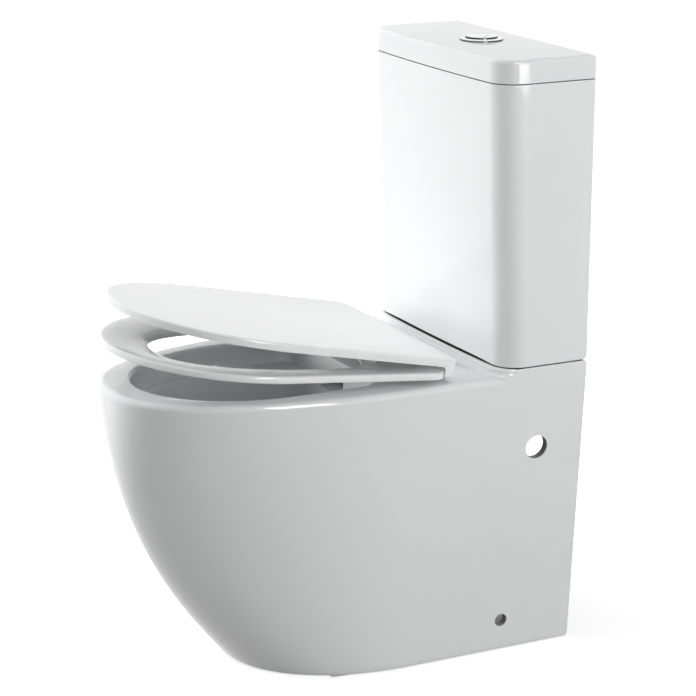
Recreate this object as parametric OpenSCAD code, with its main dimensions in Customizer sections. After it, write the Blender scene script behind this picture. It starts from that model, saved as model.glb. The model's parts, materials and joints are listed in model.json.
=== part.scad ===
// Back to wall toilet: a close coupled cistern on a skirted pan, with a slim soft closing seat.
// Millimetres. +Z is up, the front of the pan points to -Y and the wall plane lies at +Y.
// Every module is drawn with the wall at y = 0; at_wall() then centres the depth on the origin.

/* [Pan] */
// Depth of the pan from the wall to the tip of the rim
pan_depth = 618; // [600:1:650]
// Width of the pan across the rim
pan_w = 361.4; // [350:0.1:363]
// Width of the pan where it stands on the floor
pan_foot_w = 304; // [280:1:330]
// Height of the rim
rim_h = 400; // [390:1:430]
// How far the foot steps back from the tip of the rim
front_undercut = 164.4; // [120:0.1:190]
// Thickness of the skirt
skirt_t = 11; // [9:0.5:14]
// Thickness of the deck and rim
deck_t = 14; // [12:0.5:18]
// Height of the raised cistern seat above the deck
platform_h = 12; // [10:0.5:16]

/* [Bowl and trap] */
// Width of the bowl opening
bowl_w = 260; // [250:1:270]
// Length of the bowl opening
bowl_l = 242; // [232:1:250]
// Width of the rim at the front
rim_front_w = 41; // [36:1:48]
// Depth of the open flush shelf below the rim
shelf_z = 36; // [30:1:42]
// Width of the flush shelf
shelf_w = 13; // [8:1:16]
// Wall of the bowl and of the trap
bowl_t = 9; // [7:0.5:11]
// Bore of the trap
trap_bore = 76; // [70:1:80]
// Height of the outlet centre above the floor
outlet_h = 182; // [180:1:190]
// Outside diameter of the outlet spigot
spigot_d = 102; // [100:1:110]
// Gap between the end of the spigot and the wall
spigot_gap = 12; // [5:1:30]
// Length of the spigot
spigot_l = 70; // [50:1:80]

/* [Side holes] */
// Diameter of the upper service hole
service_d = 33; // [28:0.5:36]
// Height of the service hole
service_h = 293.7; // [285:0.1:305]
// Distance of the service hole from the wall
service_y = 70.5; // [60:0.5:80]
// Diameter of the lower fixing hole
fixing_d = 18.6; // [14:0.1:22]
// Height of the fixing hole
fixing_h = 44.2; // [38:0.1:60]
// Distance of the fixing hole from the wall
fixing_y = 109.5; // [90:0.5:125]

/* [Cistern] */
// Width of the cistern
tank_w = 367; // [365:1:372]
// Depth of the cistern at the lid
tank_top_depth = 143; // [138:0.5:146]
// Depth of the cistern at its foot
tank_foot_depth = 130; // [126:0.5:134]
// Forward bow of the front face
tank_bow = 4; // [2:0.5:5]
// Radius of the upright front corners
tank_corner_r = 35; // [28:1:40]
// Height of the cistern without its lid
tank_h = 373.3; // [360:0.1:390]
// Gap under the cistern, filled by the pads
tank_gap = 3; // [2:0.5:4]
// Wall of the cistern
tank_t = 9; // [8:0.5:10]
// Floor of the cistern
tank_floor_t = 12; // [10:0.5:14]
// Height of the lid
lid_h = 31.4; // [28:0.1:36]
// Thickness of the lid
lid_t = 10; // [8:0.5:12]
// Distance of the valves and the button from the wall
valve_y = 68; // [66:0.5:70]
// Distance of the fill valve to the left of the middle
fill_x = 115; // [110:1:122]
// Distance of each cistern bolt from the middle
bolt_x = 76; // [72:0.5:80]

/* [Flush button] */
// Diameter of the chromed bezel
bezel_d = 59; // [56:0.5:64]
// Diameter of the two keys together
key_d = 43; // [41:0.5:44]
// Height of the keys above the bezel
key_rise = 2.6; // [2:0.1:4]
// Travel of each key
key_travel = 6; // [4:0.5:8]
// Offset of the split between the keys
key_split = 8; // [6:0.5:9]

/* [Seat] */
// Width of the seat ring
seat_w = 357; // [350:1:360]
// Reach of the seat ring in front of the hinge
seat_reach = 414; // [410:0.5:414]
// Width of the hole in the seat ring
seat_hole_w = 212; // [200:1:220]
// Front end of the hole, measured from the hinge
seat_hole_front = 349; // [340:1:352]
// Rear end of the hole, measured from the hinge
seat_hole_rear = 74; // [68:1:84]
// Thickness of the seat ring at its outer edge
seat_t = 9.8; // [9:0.1:10.5]
// Width of the cover
cover_w = 342; // [336:1:350]
// Reach of the cover in front of the hinge
cover_reach = 411.5; // [405:0.5:414]
// Depth of the edge band of the cover
cover_band = 10.4; // [9:0.1:11]
// Wall of the cover
cover_t = 3.2; // [2.6:0.1:3.3]
// Opening angle of the seat ring at rest
seat_angle = 6.17; // [3:0.01:9]
// Opening angle of the cover at rest
cover_angle = 12.07; // [9.5:0.01:14]

/* [Hinge] */
// Distance of the hinge line from the wall
hinge_from_wall = 202; // [200:0.5:206]
// Height of the hinge line above the deck
hinge_rise = 17.5; // [17.3:0.1:19]
// Distance between the two hinge posts
hinge_pitch = 155; // [150:1:160]
// Diameter of the hinge pins
pin_d = 8; // [7:0.1:8.4]
// Diameter of the hinge barrels
barrel_d = 15.6; // [15.2:0.1:16]

/* [Hidden] */
$fn = 48;

ceramic = [0.93, 0.93, 0.93];
seat_white = [0.95, 0.95, 0.95];
chrome = [0.78, 0.79, 0.81];
rubber = [0.12, 0.12, 0.13];
valve_white = [0.90, 0.91, 0.92];
valve_blue = [0.25, 0.45, 0.75];
brass = [0.80, 0.66, 0.35];
steel = [0.65, 0.66, 0.68];

// Clearances: seat_gap parts that rest on each other, run_gap a shaft in its bore
seat_gap = 0.3;
run_gap = 0.05;
// Overlap that joins or cuts solids cleanly, and how much fuller a bend is than its straights
eps = 1;
bend_ease = 0.2;

// Pan: the height levels come from the rim down, as shares of the rim height
rim_half = pan_w / 2;
foot_half = pan_foot_w / 2;
rim_edge_r = 6;
foot_edge_r = 2.5;
nose_foot = 206;
nose_rim = 418;
front_steps = 28;
deck_z = rim_h;
platform_z = rim_h + platform_h;
platform_depth = tank_foot_depth + tank_bow + 2;
platform_r = 32;

// Bowl and trap
bowl_half = bowl_w / 2;
bowl_front = pan_depth - rim_front_w;
bowl_rear = bowl_front - bowl_l;
bowl_nose = 160;
trap_r = trap_bore / 2;
trap_out_r = trap_r + bowl_t;
sump_y = bowl_rear + 10;
sump_z = trap_out_r + bowl_t;
trap_bend = 60;
trap_rise = 70;
trap_low_y = sump_y - 45;
trap_leg_z = sump_z + trap_bend * (1 - cos(trap_rise));
trap_leg_y = trap_low_y - trap_bend * sin(trap_rise);
trap_leg = (outlet_h - trap_bend * (1 - cos(trap_rise)) - trap_leg_z) / sin(trap_rise);
trap_top_y = trap_leg_y - trap_leg * cos(trap_rise) - trap_bend * sin(trap_rise);

// Flush inlet of the pan and the channel to the back of the bowl
recess_d = 100;
recess_depth = 18;
inlet_d = 72;
channel_w = 60;
channel_h = 24;
channel_top = deck_z - deck_t - 6;
channel_wall = 8;

// Cistern
tank_z = platform_z + tank_gap;
pad_x = 146;
pad_w = 24;
pad_l = 14;
pad_back = 40;
pad_front = 104;
tank_top = tank_z + tank_h;
tank_half = tank_w / 2;
tank_floor = tank_z + tank_floor_t;
tank_back_r = 5;
lid_z = tank_top + seat_gap;
lid_top = lid_z + lid_h;
lid_rib_depth = 12;
lid_rib_t = 6;
lid_rib_gap = 2.5;

// Cistern bolts, M8
bolt_d = 8;
bolt_hole_d = 12;
bolt_head_d = 16;
bolt_head_h = 6;
bolt_seal_d = 24;
bolt_seal_h = 4;
bolt_washer_d = 24;
bolt_washer_h = 2;
wing_nut_h = 10;
bolt_tail = 12;
platform_under = deck_z - deck_t;

// Flush valve
washer_h = 3;
tail_d = 60;
tail_bore = 53;
tail_hole_d = 64;
valve_flange_d = 77;
valve_flange_h = 4;
valve_seat_z = tank_floor + washer_h + valve_flange_h + 6;
valve_seat_d = 62;
tail_low = platform_z - recess_depth - 8;
nut_h = 12;
valve_nut_d = 76;
gasket_d = 97;
cage_d = 70;
cage_t = 3;
basket_h = 104;
tower_d = 38;
head_gap = 88;
head_d = 62;
head_h = 34;
head_z = tank_top - head_gap;
tube_d = 28;
tube_bore = 24;
tube_lift = 20;
plunger_d = 11;
plunger_rise = 9;

// Fill valve, with a half inch inlet thread
shank_d = 20.9;
shank_hole_d = 24;
shank_l = 62;
fill_flange_d = 34;
fill_nut_d = 34;
fill_nut_h = 10;
// Run-out groove between the nut's thread and the supply's
groove_w = 1.6;
groove_d = 19.6;
fill_hole_d = 50;
stem_d = 22;
fill_head_d = 40;
fill_head_h = 50;
fill_head_drop = 148;
fill_head_z = tank_top - fill_head_drop;
float_d = 56;
float_h = 60;
float_drop = 82;
float_z = fill_head_z - float_drop;
float_stroke = 6;
lever_pivot_x = -10;
lever_reach = 34.4;
lever_t = 5;
lever_w = 9;
link_d = 3;

// Flush button
bezel_r = bezel_d / 2;
key_r = key_d / 2;
sleeve_r = key_r + 3.4;
lid_hole_r = sleeve_r + 0.6;
bezel_h = 3.2;
sleeve_l = 42;
key_skirt = 9;
key_top = lid_top + bezel_h + key_rise;
key_low = lid_top - key_skirt;
key_gap = 0.4;
split_angle = 49;
full_rod_at = -6;
half_rod_at = 14.5;
rod_d = 5;
spring_r = 4.4;
spring_wire = 1.2;
spring_turns = 5;

// Seat, in the hinge's own plane: -y runs forward from the hinge line and z is the height above it
hinge_y = -hinge_from_wall;
hinge_z = deck_z + hinge_rise;
seat_half = seat_w / 2;
seat_rear = 14;
seat_nose = 175;
buffer_h = 5.5;
seat_low = buffer_h + seat_gap - hinge_rise;
seat_top = seat_low + seat_t;
seat_hole_half = seat_hole_w / 2;
seat_hole_nose = 264;
seat_lip = 4.3;
cover_half = cover_w / 2;
cover_rear = -12;
cover_nose = 185.5;
cover_gap = 5.1;
cover_low = seat_top + cover_gap;
cover_top = cover_low + cover_band;
skirt_low = 7.5 - hinge_rise;
skirt_front = 8;
skirt_round = 4;
cover_crown = 0.9;
buffer_r = 10;
// Where the buffers sit round the ring, and how far in from its outline to its opening
buffer_turns = [2, -62];
buffer_share = 0.4;
peg_r = 7;
peg_side_in = 21;
peg_side_y = 110;
peg_front_x = 75;
peg_front_in = 49.5;
barrel_r = barrel_d / 2;
pin_r = pin_d / 2;
post_r = 7.5;
post_w = 23;
base_r = 15.5;
base_h = 3;
notch_half = 16.5;
barrel_gap = 0.4;
ring_barrel_in = 12;
cover_barrel_out = 143;
pin_reach = 33;
damper_r = 6;
damper_l = 29;
screw_d = 6;
bush_d = 14;
bush_l = 40;
bush_nut_h = 8;
bush_nut_d = 13.4;
hinge_x = hinge_pitch / 2;

function mix(a, b, t) = a + (b - a) * t;
function spow(v, e) = sign(v) * pow(abs(v), e);

// Plan outline with straight sides and a rounded nose, seen from above and anticlockwise
function nose_outline(half, reach, nose, power, back) = concat(
    [for (i = [0:front_steps]) let (a = 180 + 180 * i / front_steps)
        [half * spow(cos(a), 2 / power), nose - reach + nose * spow(sin(a), 2 / power)]],
    [[half, back], [-half, back]]);

// Closed egg outline: one power for the front half and one for the rear half
function egg_point(a, half, rear, mid, front, front_power, rear_power) =
    let (p = sin(a) < 0 ? front_power : rear_power, l = sin(a) < 0 ? front - mid : mid - rear)
    [half * spow(cos(a), 2 / p), l * spow(sin(a), 2 / p) - mid];

function egg(half, rear, mid, front, front_power, rear_power, steps) =
    [for (i = [0:steps - 1])
        egg_point(360 * i / steps, half, rear, mid, front, front_power, rear_power)];

function arc(cx, cy, r, from, steps) =
    [for (i = [0:steps]) let (a = from + 90 * i / steps) [cx + r * cos(a), cy + r * sin(a)]];

// Cistern outline, in by an inset: square back corners, round front corners, bowed front
function tank_outline(half, depth, inset) =
    let (h = half - inset, d = depth - inset, r = max(tank_corner_r - inset, 4),
        b = max(tank_back_r - inset, 1), flat = h - r)
    concat(arc(-flat, r - d, r, 180, 7),
        [for (i = [1:7]) let (x = flat * (i / 4 - 1)) [x, -d - tank_bow * (1 - pow(x / flat, 2))]],
        arc(flat, r - d, r, 270, 7),
        arc(h - b, -b - inset, b, 0, 2), arc(b - h, -b - inset, b, 90, 2));

// Solid through a stack of outlines, each [height, outline], with the same number of points
module loft(rings) {
    n = len(rings[0][1]);
    top = len(rings) - 1;
    polyhedron(
        points = [for (r = rings) for (p = r[1]) [p[0], p[1], r[0]]],
        faces = concat([[for (i = [0:n - 1]) i]], [[for (i = [0:n - 1]) top * n + n - 1 - i]],
            [for (k = [0:top - 1]) for (i = [0:n - 1]) let (j = (i + 1) % n)
                [k * n + i, k * n + n + i, k * n + n + j]],
            [for (k = [0:top - 1]) for (i = [0:n - 1]) let (j = (i + 1) % n)
                [k * n + i, k * n + n + j, k * n + j]]),
        convexity = 6);
}

module at_wall() {
    translate([0, pan_depth / 2, 0]) children();
}

module at_hinge(angle) {
    at_wall() translate([0, hinge_y, hinge_z]) rotate([-angle, 0, 0]) children();
}

module at_valve() {
    at_wall() translate([0, -valve_y, 0]) children();
}

module at_fill() {
    at_wall() translate([-fill_x, -valve_y, 0]) children();
}

module both_sides() {
    children();
    mirror([1, 0, 0]) children();
}

// Turns local x, y to the side view's y, z
module in_side_plane() {
    rotate([90, 0, 90]) children();
}

module tube(outer_d, bore_d, h) {
    difference() {
        cylinder(d = outer_d, h = h);
        translate([0, 0, -eps]) cylinder(d = bore_d, h = h + 2 * eps);
    }
}

// ---- Pan ----

// Outline of the skirt at height z, taken in by an inset
function skirt(z, inset, back) =
    let (u = z / rim_h, v = min(u, 1), half = mix(foot_half, rim_half, u),
        reach = pan_depth - front_undercut * pow(1 - v, 2.161),
        nose = mix(nose_foot, nose_rim, v), power = 2.147 + 0.38 * v - 2.236 * v * (1 - v))
    nose_outline(half - inset, reach - inset, nose - inset, power, back);

module skirt_form() {
    low = rim_h - rim_edge_r;
    loft(concat([[0, skirt(0, foot_edge_r, 0)], [foot_edge_r, skirt(foot_edge_r, 0, 0)]],
        [for (u = [0.08, 0.18, 0.3, 0.42, 0.54, 0.66, 0.78, 0.9]) [u * rim_h, skirt(u * rim_h, 0, 0)]],
        [[low, skirt(low, 0, 0)],
        [rim_h - rim_edge_r * 0.35, skirt(rim_h, rim_edge_r * 0.24, 0)],
        [rim_h, skirt(rim_h, rim_edge_r, 0)]]));
}

// Block of the raised cistern seat at an inset, with round front corners
function platform_outline(inset) =
    let (h = rim_half + 3 - inset, d = platform_depth - inset, r = platform_r - inset)
    concat(arc(r - h, r - d, r, 180, 7), arc(h - r, r - d, r, 270, 7), [[h, 10], [-h, 10]]);

// Raised seat of the cistern: the skirt carried up, inside that block
module platform_form() {
    low = rim_h - rim_edge_r;
    round_r = 4;
    intersection() {
        loft([[low, skirt(low, 0, 0)], [platform_z - round_r, skirt(platform_z - round_r, 0, 0)],
            [platform_z - round_r * 0.3, skirt(platform_z, round_r * 0.25, 0)],
            [platform_z, skirt(platform_z, round_r, 0)]]);
        loft([for (e = [[low - eps, -5], [deck_z - 1, -4.2], [deck_z + 1.5, -2.6], [deck_z + 4, -1],
            [platform_z - 4, 0], [platform_z - 1.2, 1.2], [platform_z + eps, 3.5]])
            [e[0], platform_outline(e[1])]]);
    }
}

module skirt_hollow() {
    loft([for (u = [-0.01, 0.12, 0.26, 0.42, 0.58, 0.74, 0.88, platform_under / rim_h])
        [u * rim_h, skirt(max(u, 0) * rim_h, skirt_t, 20)]]);
}

// Bowl outline at a share of the way down: widths, ends and roundness run from the rim to the sump
bowl_steps = [[0.17, 0.97, 0.96, 0.98], [0.30, 0.88, 0.84, 0.93], [0.43, 0.76, 0.68, 0.85],
    [0.56, 0.60, 0.49, 0.72], [0.69, 0.42, 0.30, 0.52], [0.81, 0.24, 0.14, 0.30],
    [0.92, 0.09, 0.04, 0.12]];

function bowl_ring(z, width_k, front_k, rear_k, grow) =
    let (half = mix(trap_r, bowl_half - shelf_w, width_k) + grow,
        front = mix(sump_y + trap_r, bowl_front - shelf_w, front_k) + grow,
        rear = mix(sump_y - trap_r, bowl_rear + 2, rear_k) - grow,
        mid = mix(sump_y, bowl_front - bowl_nose, front_k))
    [z, egg(half, rear, mid, front, 2, mix(2, 7, pow(rear_k, 3)), 40)];

function rim_ring(z, inset, grow) = [z, egg(bowl_half - inset + grow, bowl_rear + inset / 2 - grow,
    bowl_front - bowl_nose, bowl_front - inset + grow, 1.96, 12, 40)];

function bowl_rings(grow) = concat(
    [[sump_z - 6, egg(trap_r - 2 + grow, sump_y - trap_r + 2 - grow, sump_y,
        sump_y + trap_r - 2 + grow, 2, 2, 40)]],
    [for (k = [len(bowl_steps) - 1:-1:0]) let (b = bowl_steps[k])
        bowl_ring(mix(rim_h, sump_z, b[0]), b[1], b[2], b[3], grow)],
    [rim_ring(rim_h - shelf_z - 6, shelf_w - 1, grow), rim_ring(rim_h - shelf_z, shelf_w * 0.3, grow),
        rim_ring(rim_h - shelf_z + 8, 0, grow)]);

module bowl_shell() {
    loft(concat(bowl_rings(bowl_t), [rim_ring(rim_h - deck_t / 2, 0, bowl_t)]));
    translate([0, -sump_y, sump_z]) sphere(r = trap_out_r);
}

module bowl_hollow() {
    loft(concat(bowl_rings(0), [rim_ring(rim_h - 5, 0, 0), rim_ring(rim_h - 1.5, -1.3, 0),
        rim_ring(rim_h + eps, -5, 0)]));
    translate([0, -sump_y, sump_z]) sphere(r = trap_r);
}

// Trap: back from the sump, up over the weir and out to the spigot
module trap_path(r, tail) {
    in_side_plane() {
        translate([-sump_y, sump_z]) rotate([0, 90, 0]) cylinder(r = r, h = sump_y - trap_low_y + eps);
        translate([-trap_low_y, sump_z + trap_bend]) rotate([0, 0, -90]) trap_elbow(r);
        translate([-trap_leg_y, trap_leg_z]) rotate([0, 0, trap_rise - 90]) rotate([-90, 0, 0])
            translate([0, 0, -eps]) cylinder(r = r, h = trap_leg + 2 * eps);
        translate([-trap_top_y, outlet_h - trap_bend]) rotate([0, 0, 90]) trap_elbow(r);
        translate([-trap_top_y - eps, outlet_h]) rotate([0, 90, 0])
            cylinder(r = r, h = trap_top_y - spigot_gap + tail + eps);
    }
}

module trap_elbow(r) {
    rotate_extrude(angle = trap_rise) translate([trap_bend, 0]) circle(r = r + bend_ease);
}

// Flush channel from the cistern's outlet to the back of the bowl
module channel(grow, ahead, rise) {
    w = channel_w + 2 * grow;
    low = channel_top - channel_h - grow;
    translate([-w / 2, -bowl_rear - ahead, low])
        cube([w, bowl_rear + ahead - valve_y, channel_h + grow + (grow > 0 ? deck_t : 0)]);
    translate([0, -valve_y, low]) cylinder(d = inlet_d + 2 * grow, h = rise - low);
}

// Hole in each side of the skirt, square to its leaning wall
module side_hole(d, y, z) {
    lean = atan((rim_half - foot_half) / rim_h);
    for (side = [-1, 1]) translate([side * mix(foot_half, rim_half, z / rim_h), -y, z])
        rotate([0, side * (90 + lean), 0]) translate([0, 0, -2 * skirt_t])
            cylinder(d = d, h = 3 * skirt_t);
}

module pan_holes() {
    translate([0, -valve_y, platform_z - recess_depth]) cylinder(d = recess_d, h = recess_depth + eps);
    translate([-fill_x, -valve_y, platform_under - eps])
        cylinder(d = fill_hole_d, h = platform_z);
    for (side = [-1, 1]) {
        translate([side * bolt_x, -valve_y, platform_under - eps])
            cylinder(d = bolt_hole_d, h = platform_z);
        translate([side * hinge_x, hinge_y, platform_under - eps])
            cylinder(d = bush_d + 2 * run_gap, h = deck_t + platform_h);
    }
    side_hole(service_d, service_y, service_h);
    side_hole(fixing_d, fixing_y, fixing_h);
}

module pan() {
    color(ceramic) at_wall() difference() {
        union() {
            difference() {
                union() {
                    skirt_form();
                    platform_form();
                }
                skirt_hollow();
            }
            bowl_shell();
            trap_path(trap_out_r, 0);
            translate([0, -spigot_gap, outlet_h]) rotate([90, 0, 0]) cylinder(d = spigot_d, h = spigot_l);
            channel(channel_wall, -bowl_t / 2, deck_z - deck_t / 2);
        }
        bowl_hollow();
        trap_path(trap_r, eps);
        channel(0, 6, platform_z);
        pan_holes();
    }
}

// ---- Cistern ----

function tank_at(z, inset) =
    tank_outline(tank_half, mix(tank_foot_depth, tank_top_depth, (z - tank_z) / tank_h), inset);

module cistern() {
    color(ceramic) at_wall() difference() {
        loft([for (e = [[0, 9], [2, 4.6], [5.5, 1.3], [11, 0], [tank_h - 2, 0], [tank_h, 1.6]])
            [tank_z + e[0], tank_at(tank_z + e[0], e[1])]]);
        loft([for (e = [[tank_floor, tank_t + 3], [tank_floor + 8, tank_t], [tank_top + eps, tank_t]])
            [e[0], tank_at(e[0], e[1])]]);
        translate([0, -valve_y, tank_z - eps]) cylinder(d = tail_hole_d, h = tank_floor_t + 2 * eps);
        translate([-fill_x, -valve_y, tank_z - eps])
            cylinder(d = shank_hole_d, h = tank_floor_t + 2 * eps);
        for (side = [-1, 1]) translate([side * bolt_x, -valve_y, tank_z - eps])
            cylinder(d = bolt_hole_d, h = tank_floor_t + 2 * eps);
    }
}

function lid_at(inset) = tank_outline(tank_half, tank_top_depth, inset);

module cistern_lid() {
    rib = tank_t + lid_rib_gap;
    inner = rib + lid_rib_t;
    color(ceramic) at_wall() difference() {
        union() {
            loft([for (e = [[lid_z, 1.6], [lid_z + 2, 0], [lid_top - 6, 0], [lid_top - 2.6, 1.2],
                [lid_top - 0.8, 3.2], [lid_top, 7]]) [e[0], lid_at(e[1])]]);
            loft([[lid_z - lid_rib_depth, lid_at(rib + 1)], [lid_z + 4, lid_at(rib)]]);
        }
        loft([[lid_z - lid_rib_depth - eps, lid_at(inner)], [lid_top - lid_t, lid_at(inner)]]);
        translate([0, -valve_y, lid_z]) cylinder(r = lid_hole_r, h = lid_h + eps);
    }
}

// Rubber pads that hold the gap between cistern and pan
module cistern_pads() {
    color(rubber) at_wall() for (side = [-1, 1]) for (y = [pad_back, pad_front])
        translate([side * pad_x - pad_w / 2, -y, platform_z]) cube([pad_w, pad_l, tank_gap]);
}

module coupling_gasket() {
    low = platform_z - recess_depth;
    color(rubber) at_valve() translate([0, 0, low])
        tube(gasket_d, valve_nut_d + 3, tank_z - low);
}

// ---- Cistern bolts ----

module at_bolts() {
    for (side = [-1, 1]) at_wall() translate([side * bolt_x, -valve_y, 0]) children();
}

module tank_bolts() {
    head_z0 = tank_floor + bolt_seal_h;
    low = platform_under - bolt_washer_h - wing_nut_h - bolt_tail;
    color(brass) at_bolts() {
        translate([0, 0, low]) cylinder(d = bolt_d, h = head_z0 - low + 1);
        difference() {
            translate([0, 0, head_z0]) cylinder(d = bolt_head_d, h = bolt_head_h);
            translate([-1, -bolt_head_d, head_z0 + bolt_head_h - 2]) cube([2, 2 * bolt_head_d, 4]);
        }
    }
}

module bolt_seals() {
    color(rubber) at_bolts() translate([0, 0, tank_floor])
        tube(bolt_seal_d, bolt_d + 2 * run_gap, bolt_seal_h);
}

module bolt_washers() {
    color(steel) at_bolts() translate([0, 0, platform_under - bolt_washer_h])
        tube(bolt_washer_d, bolt_d + 2 * run_gap, bolt_washer_h);
}

module wing_nuts() {
    top = platform_under - bolt_washer_h;
    color(brass) at_bolts() difference() {
        union() {
            translate([0, 0, top - wing_nut_h]) cylinder(d = 14, h = wing_nut_h);
            for (side = [0, 180]) rotate(side) translate([5, -1.5, top - wing_nut_h]) cube([9, 3, 8]);
        }
        translate([0, 0, top - wing_nut_h - eps])
            cylinder(d = bolt_d + 2 * run_gap, h = wing_nut_h + 2 * eps);
    }
}

// ---- Flush button ----

// Where the split's normal points; the half flush key lies on that side
module at_rod(along) {
    at_valve() rotate(split_angle) translate([along, 0, 0]) children();
}

module button_bezel() {
    web = 3;
    low = lid_top - sleeve_l;
    bore = key_r + key_gap;
    face = lid_top + bezel_h;
    color(chrome) difference() {
        at_valve() rotate_extrude(convexity = 6) polygon([[bore, low + web], [bore, face],
            [bezel_r - 3.4, face], [bezel_r - 0.9, mix(lid_top, face, 0.62)],
            [bezel_r, lid_top + 0.6], [bezel_r, lid_top], [sleeve_r, lid_top], [sleeve_r, low],
            [0, low], [0, low + web]]);
        for (along = [full_rod_at, half_rod_at]) at_rod(along)
            translate([0, 0, low - eps]) cylinder(d = rod_d + 0.6, h = web + 2 * eps);
    }
}

module button_nut() {
    nut_d = 2 * sleeve_r + 12;
    color(valve_white) at_valve() translate([0, 0, lid_top - lid_t - 8]) difference() {
        union() {
            cylinder(d = nut_d, h = 8);
            for (a = [0:45:315]) rotate(a) translate([nut_d / 2 - 1, -3, 0]) cube([3, 6, 8]);
        }
        translate([0, 0, -eps]) cylinder(r = sleeve_r + run_gap, h = 10);
    }
}

// One key: its side of the split disc, a boss for the rod and a pad on top of the spring
module key(side, rod_at) {
    low_cut = side > 0 ? key_split + key_gap : -key_d;
    width = side > 0 ? key_d : key_d + key_split - key_gap;
    color(chrome) difference() {
        at_valve() intersection() {
            rotate_extrude() polygon([[0, key_low], [key_r, key_low], [key_r, key_top - 1.4],
                [key_r - 0.5, key_top - 0.5], [key_r - 1.6, key_top], [0, key_top]]);
            rotate(split_angle) translate([low_cut, -key_d, key_low - eps]) cube([width, 2 * key_d, 40]);
        }
        at_rod(rod_at) translate([0, 0, key_low - eps]) cylinder(d = rod_d + 2 * run_gap, h = 7);
    }
}

module full_flush_button() {
    key(-1, full_rod_at);
}

module half_flush_button() {
    key(1, half_rod_at);
}

module rod(at) {
    low = head_z + head_h + plunger_rise + seat_gap;
    color(valve_white) at_rod(at) translate([0, 0, low])
        cylinder(d = rod_d, h = key_low + 6 - seat_gap - low);
}

module full_flush_rod() {
    rod(full_rod_at);
}

module half_flush_rod() {
    rod(half_rod_at);
}

// Round wire wound from the sleeve's web up to the key
module coil(low, high) {
    steps = 10;
    sides = 6;
    rings = spring_turns * steps;
    wire = spring_wire / 2;
    rise = high - low - spring_wire;
    points = [for (k = [0:rings]) let (a = 360 * k / steps, z = low + wire + rise * k / rings)
        for (i = [0:sides - 1]) let (b = 360 * i / sides, r = spring_r + wire * cos(b))
            [r * cos(a), r * sin(a), z + wire * sin(b)]];
    polyhedron(points = points, faces = concat([[for (i = [0:sides - 1]) i]],
        [[for (i = [0:sides - 1]) rings * sides + sides - 1 - i]],
        [for (k = [0:rings - 1]) for (i = [0:sides - 1]) let (j = (i + 1) % sides)
            [k * sides + i, k * sides + sides + i, k * sides + sides + j]],
        [for (k = [0:rings - 1]) for (i = [0:sides - 1]) let (j = (i + 1) % sides)
            [k * sides + i, k * sides + sides + j, k * sides + j]]), convexity = 10);
}

module button_spring(at) {
    color(steel) at_rod(at) coil(lid_top - sleeve_l + 3 + seat_gap, key_low - seat_gap);
}

module full_button_spring() {
    button_spring(full_rod_at);
}

module half_button_spring() {
    button_spring(half_rod_at);
}

// ---- Flush valve ----

module flush_valve_base() {
    flange_z = tank_floor + washer_h;
    color(valve_white) at_valve() rotate_extrude(convexity = 4) polygon([[tail_bore / 2, tail_low],
        [tail_d / 2, tail_low], [tail_d / 2, flange_z], [valve_flange_d / 2, flange_z],
        [valve_flange_d / 2, flange_z + valve_flange_h],
        [valve_seat_d / 2 + 1, flange_z + valve_flange_h], [valve_seat_d / 2 - 1, valve_seat_z],
        [valve_seat_d / 2 - 3, valve_seat_z], [tail_bore / 2, flange_z]]);
}

module flush_valve_washer() {
    color(rubber) at_valve() translate([0, 0, tank_floor])
        tube(valve_flange_d, tail_d + 2 * run_gap, washer_h);
}

module flush_valve_nut() {
    color(valve_white) at_valve() translate([0, 0, tank_z - nut_h - seat_gap]) difference() {
        cylinder(d = valve_nut_d, h = nut_h);
        translate([0, 0, -eps]) cylinder(d = tail_d + 2 * run_gap, h = nut_h + 2 * eps);
        for (a = [0:45:315]) rotate(a) translate([valve_nut_d / 2 - 2.5, -3, -eps])
            cube([4, 6, nut_h - 2]);
    }
}

module flush_valve_cage() {
    low = tank_floor + washer_h + valve_flange_h;
    basket_top = low + basket_h;
    window_l = 62;
    color(valve_white) at_valve() difference() {
        rotate_extrude(convexity = 6) polygon([[cage_d / 2 - cage_t, low], [cage_d / 2, low],
            [cage_d / 2, basket_top - 12], [tower_d / 2, basket_top], [tower_d / 2, head_z],
            [tower_d / 2 - 2.5, head_z], [tower_d / 2 - 2.5, basket_top - cage_t],
            [cage_d / 2 - cage_t, basket_top - 12 - cage_t]]);
        for (a = [0:60:300]) rotate(a) translate([0, -11, low + 12]) cube([cage_d, 22, window_l]);
        for (a = [0:90:270]) rotate(a) translate([0, -4, basket_top + 14])
            cube([tower_d, 8, head_z - basket_top - 40]);
    }
}

module flush_valve_head() {
    color(valve_blue) at_valve() difference() {
        union() {
            translate([0, 0, head_z]) cylinder(d = head_d, h = head_h - 4);
            translate([0, 0, head_z + head_h - 4]) cylinder(d1 = head_d, d2 = head_d - 8, h = 4);
        }
        translate([0, 0, head_z - eps]) cylinder(d = tube_d + 2, h = head_h - 9);
        rotate(split_angle) for (along = [full_rod_at, half_rod_at])
            translate([along, 0, head_z + head_h - key_travel - 1]) cylinder(d = plunger_d + 0.6, h = 20);
    }
}

module plunger(at) {
    color(valve_white) at_rod(at) translate([0, 0, head_z + head_h - seat_gap])
        cylinder(d = plunger_d, h = plunger_rise + seat_gap);
}

module full_flush_plunger() {
    plunger(full_rod_at);
}

module half_flush_plunger() {
    plunger(half_rod_at);
}

module overflow_tube() {
    low = valve_seat_z - 6;
    collar = valve_seat_z + seat_gap + 4;
    color(valve_white) at_valve() rotate_extrude(convexity = 4) polygon([[tube_bore / 2, low],
        [tube_d / 2, low], [tube_d / 2, collar], [tube_d / 2 + 6, collar], [tube_d / 2 + 6, collar + 2],
        [tube_d / 2, collar + 2], [tube_d / 2, head_z + 2], [tube_bore / 2, head_z + 2]]);
}

module flush_seal() {
    color(rubber) at_valve() translate([0, 0, valve_seat_z + seat_gap])
        tube(valve_seat_d - 1, tube_d + 2 * run_gap, 4);
}

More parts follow.
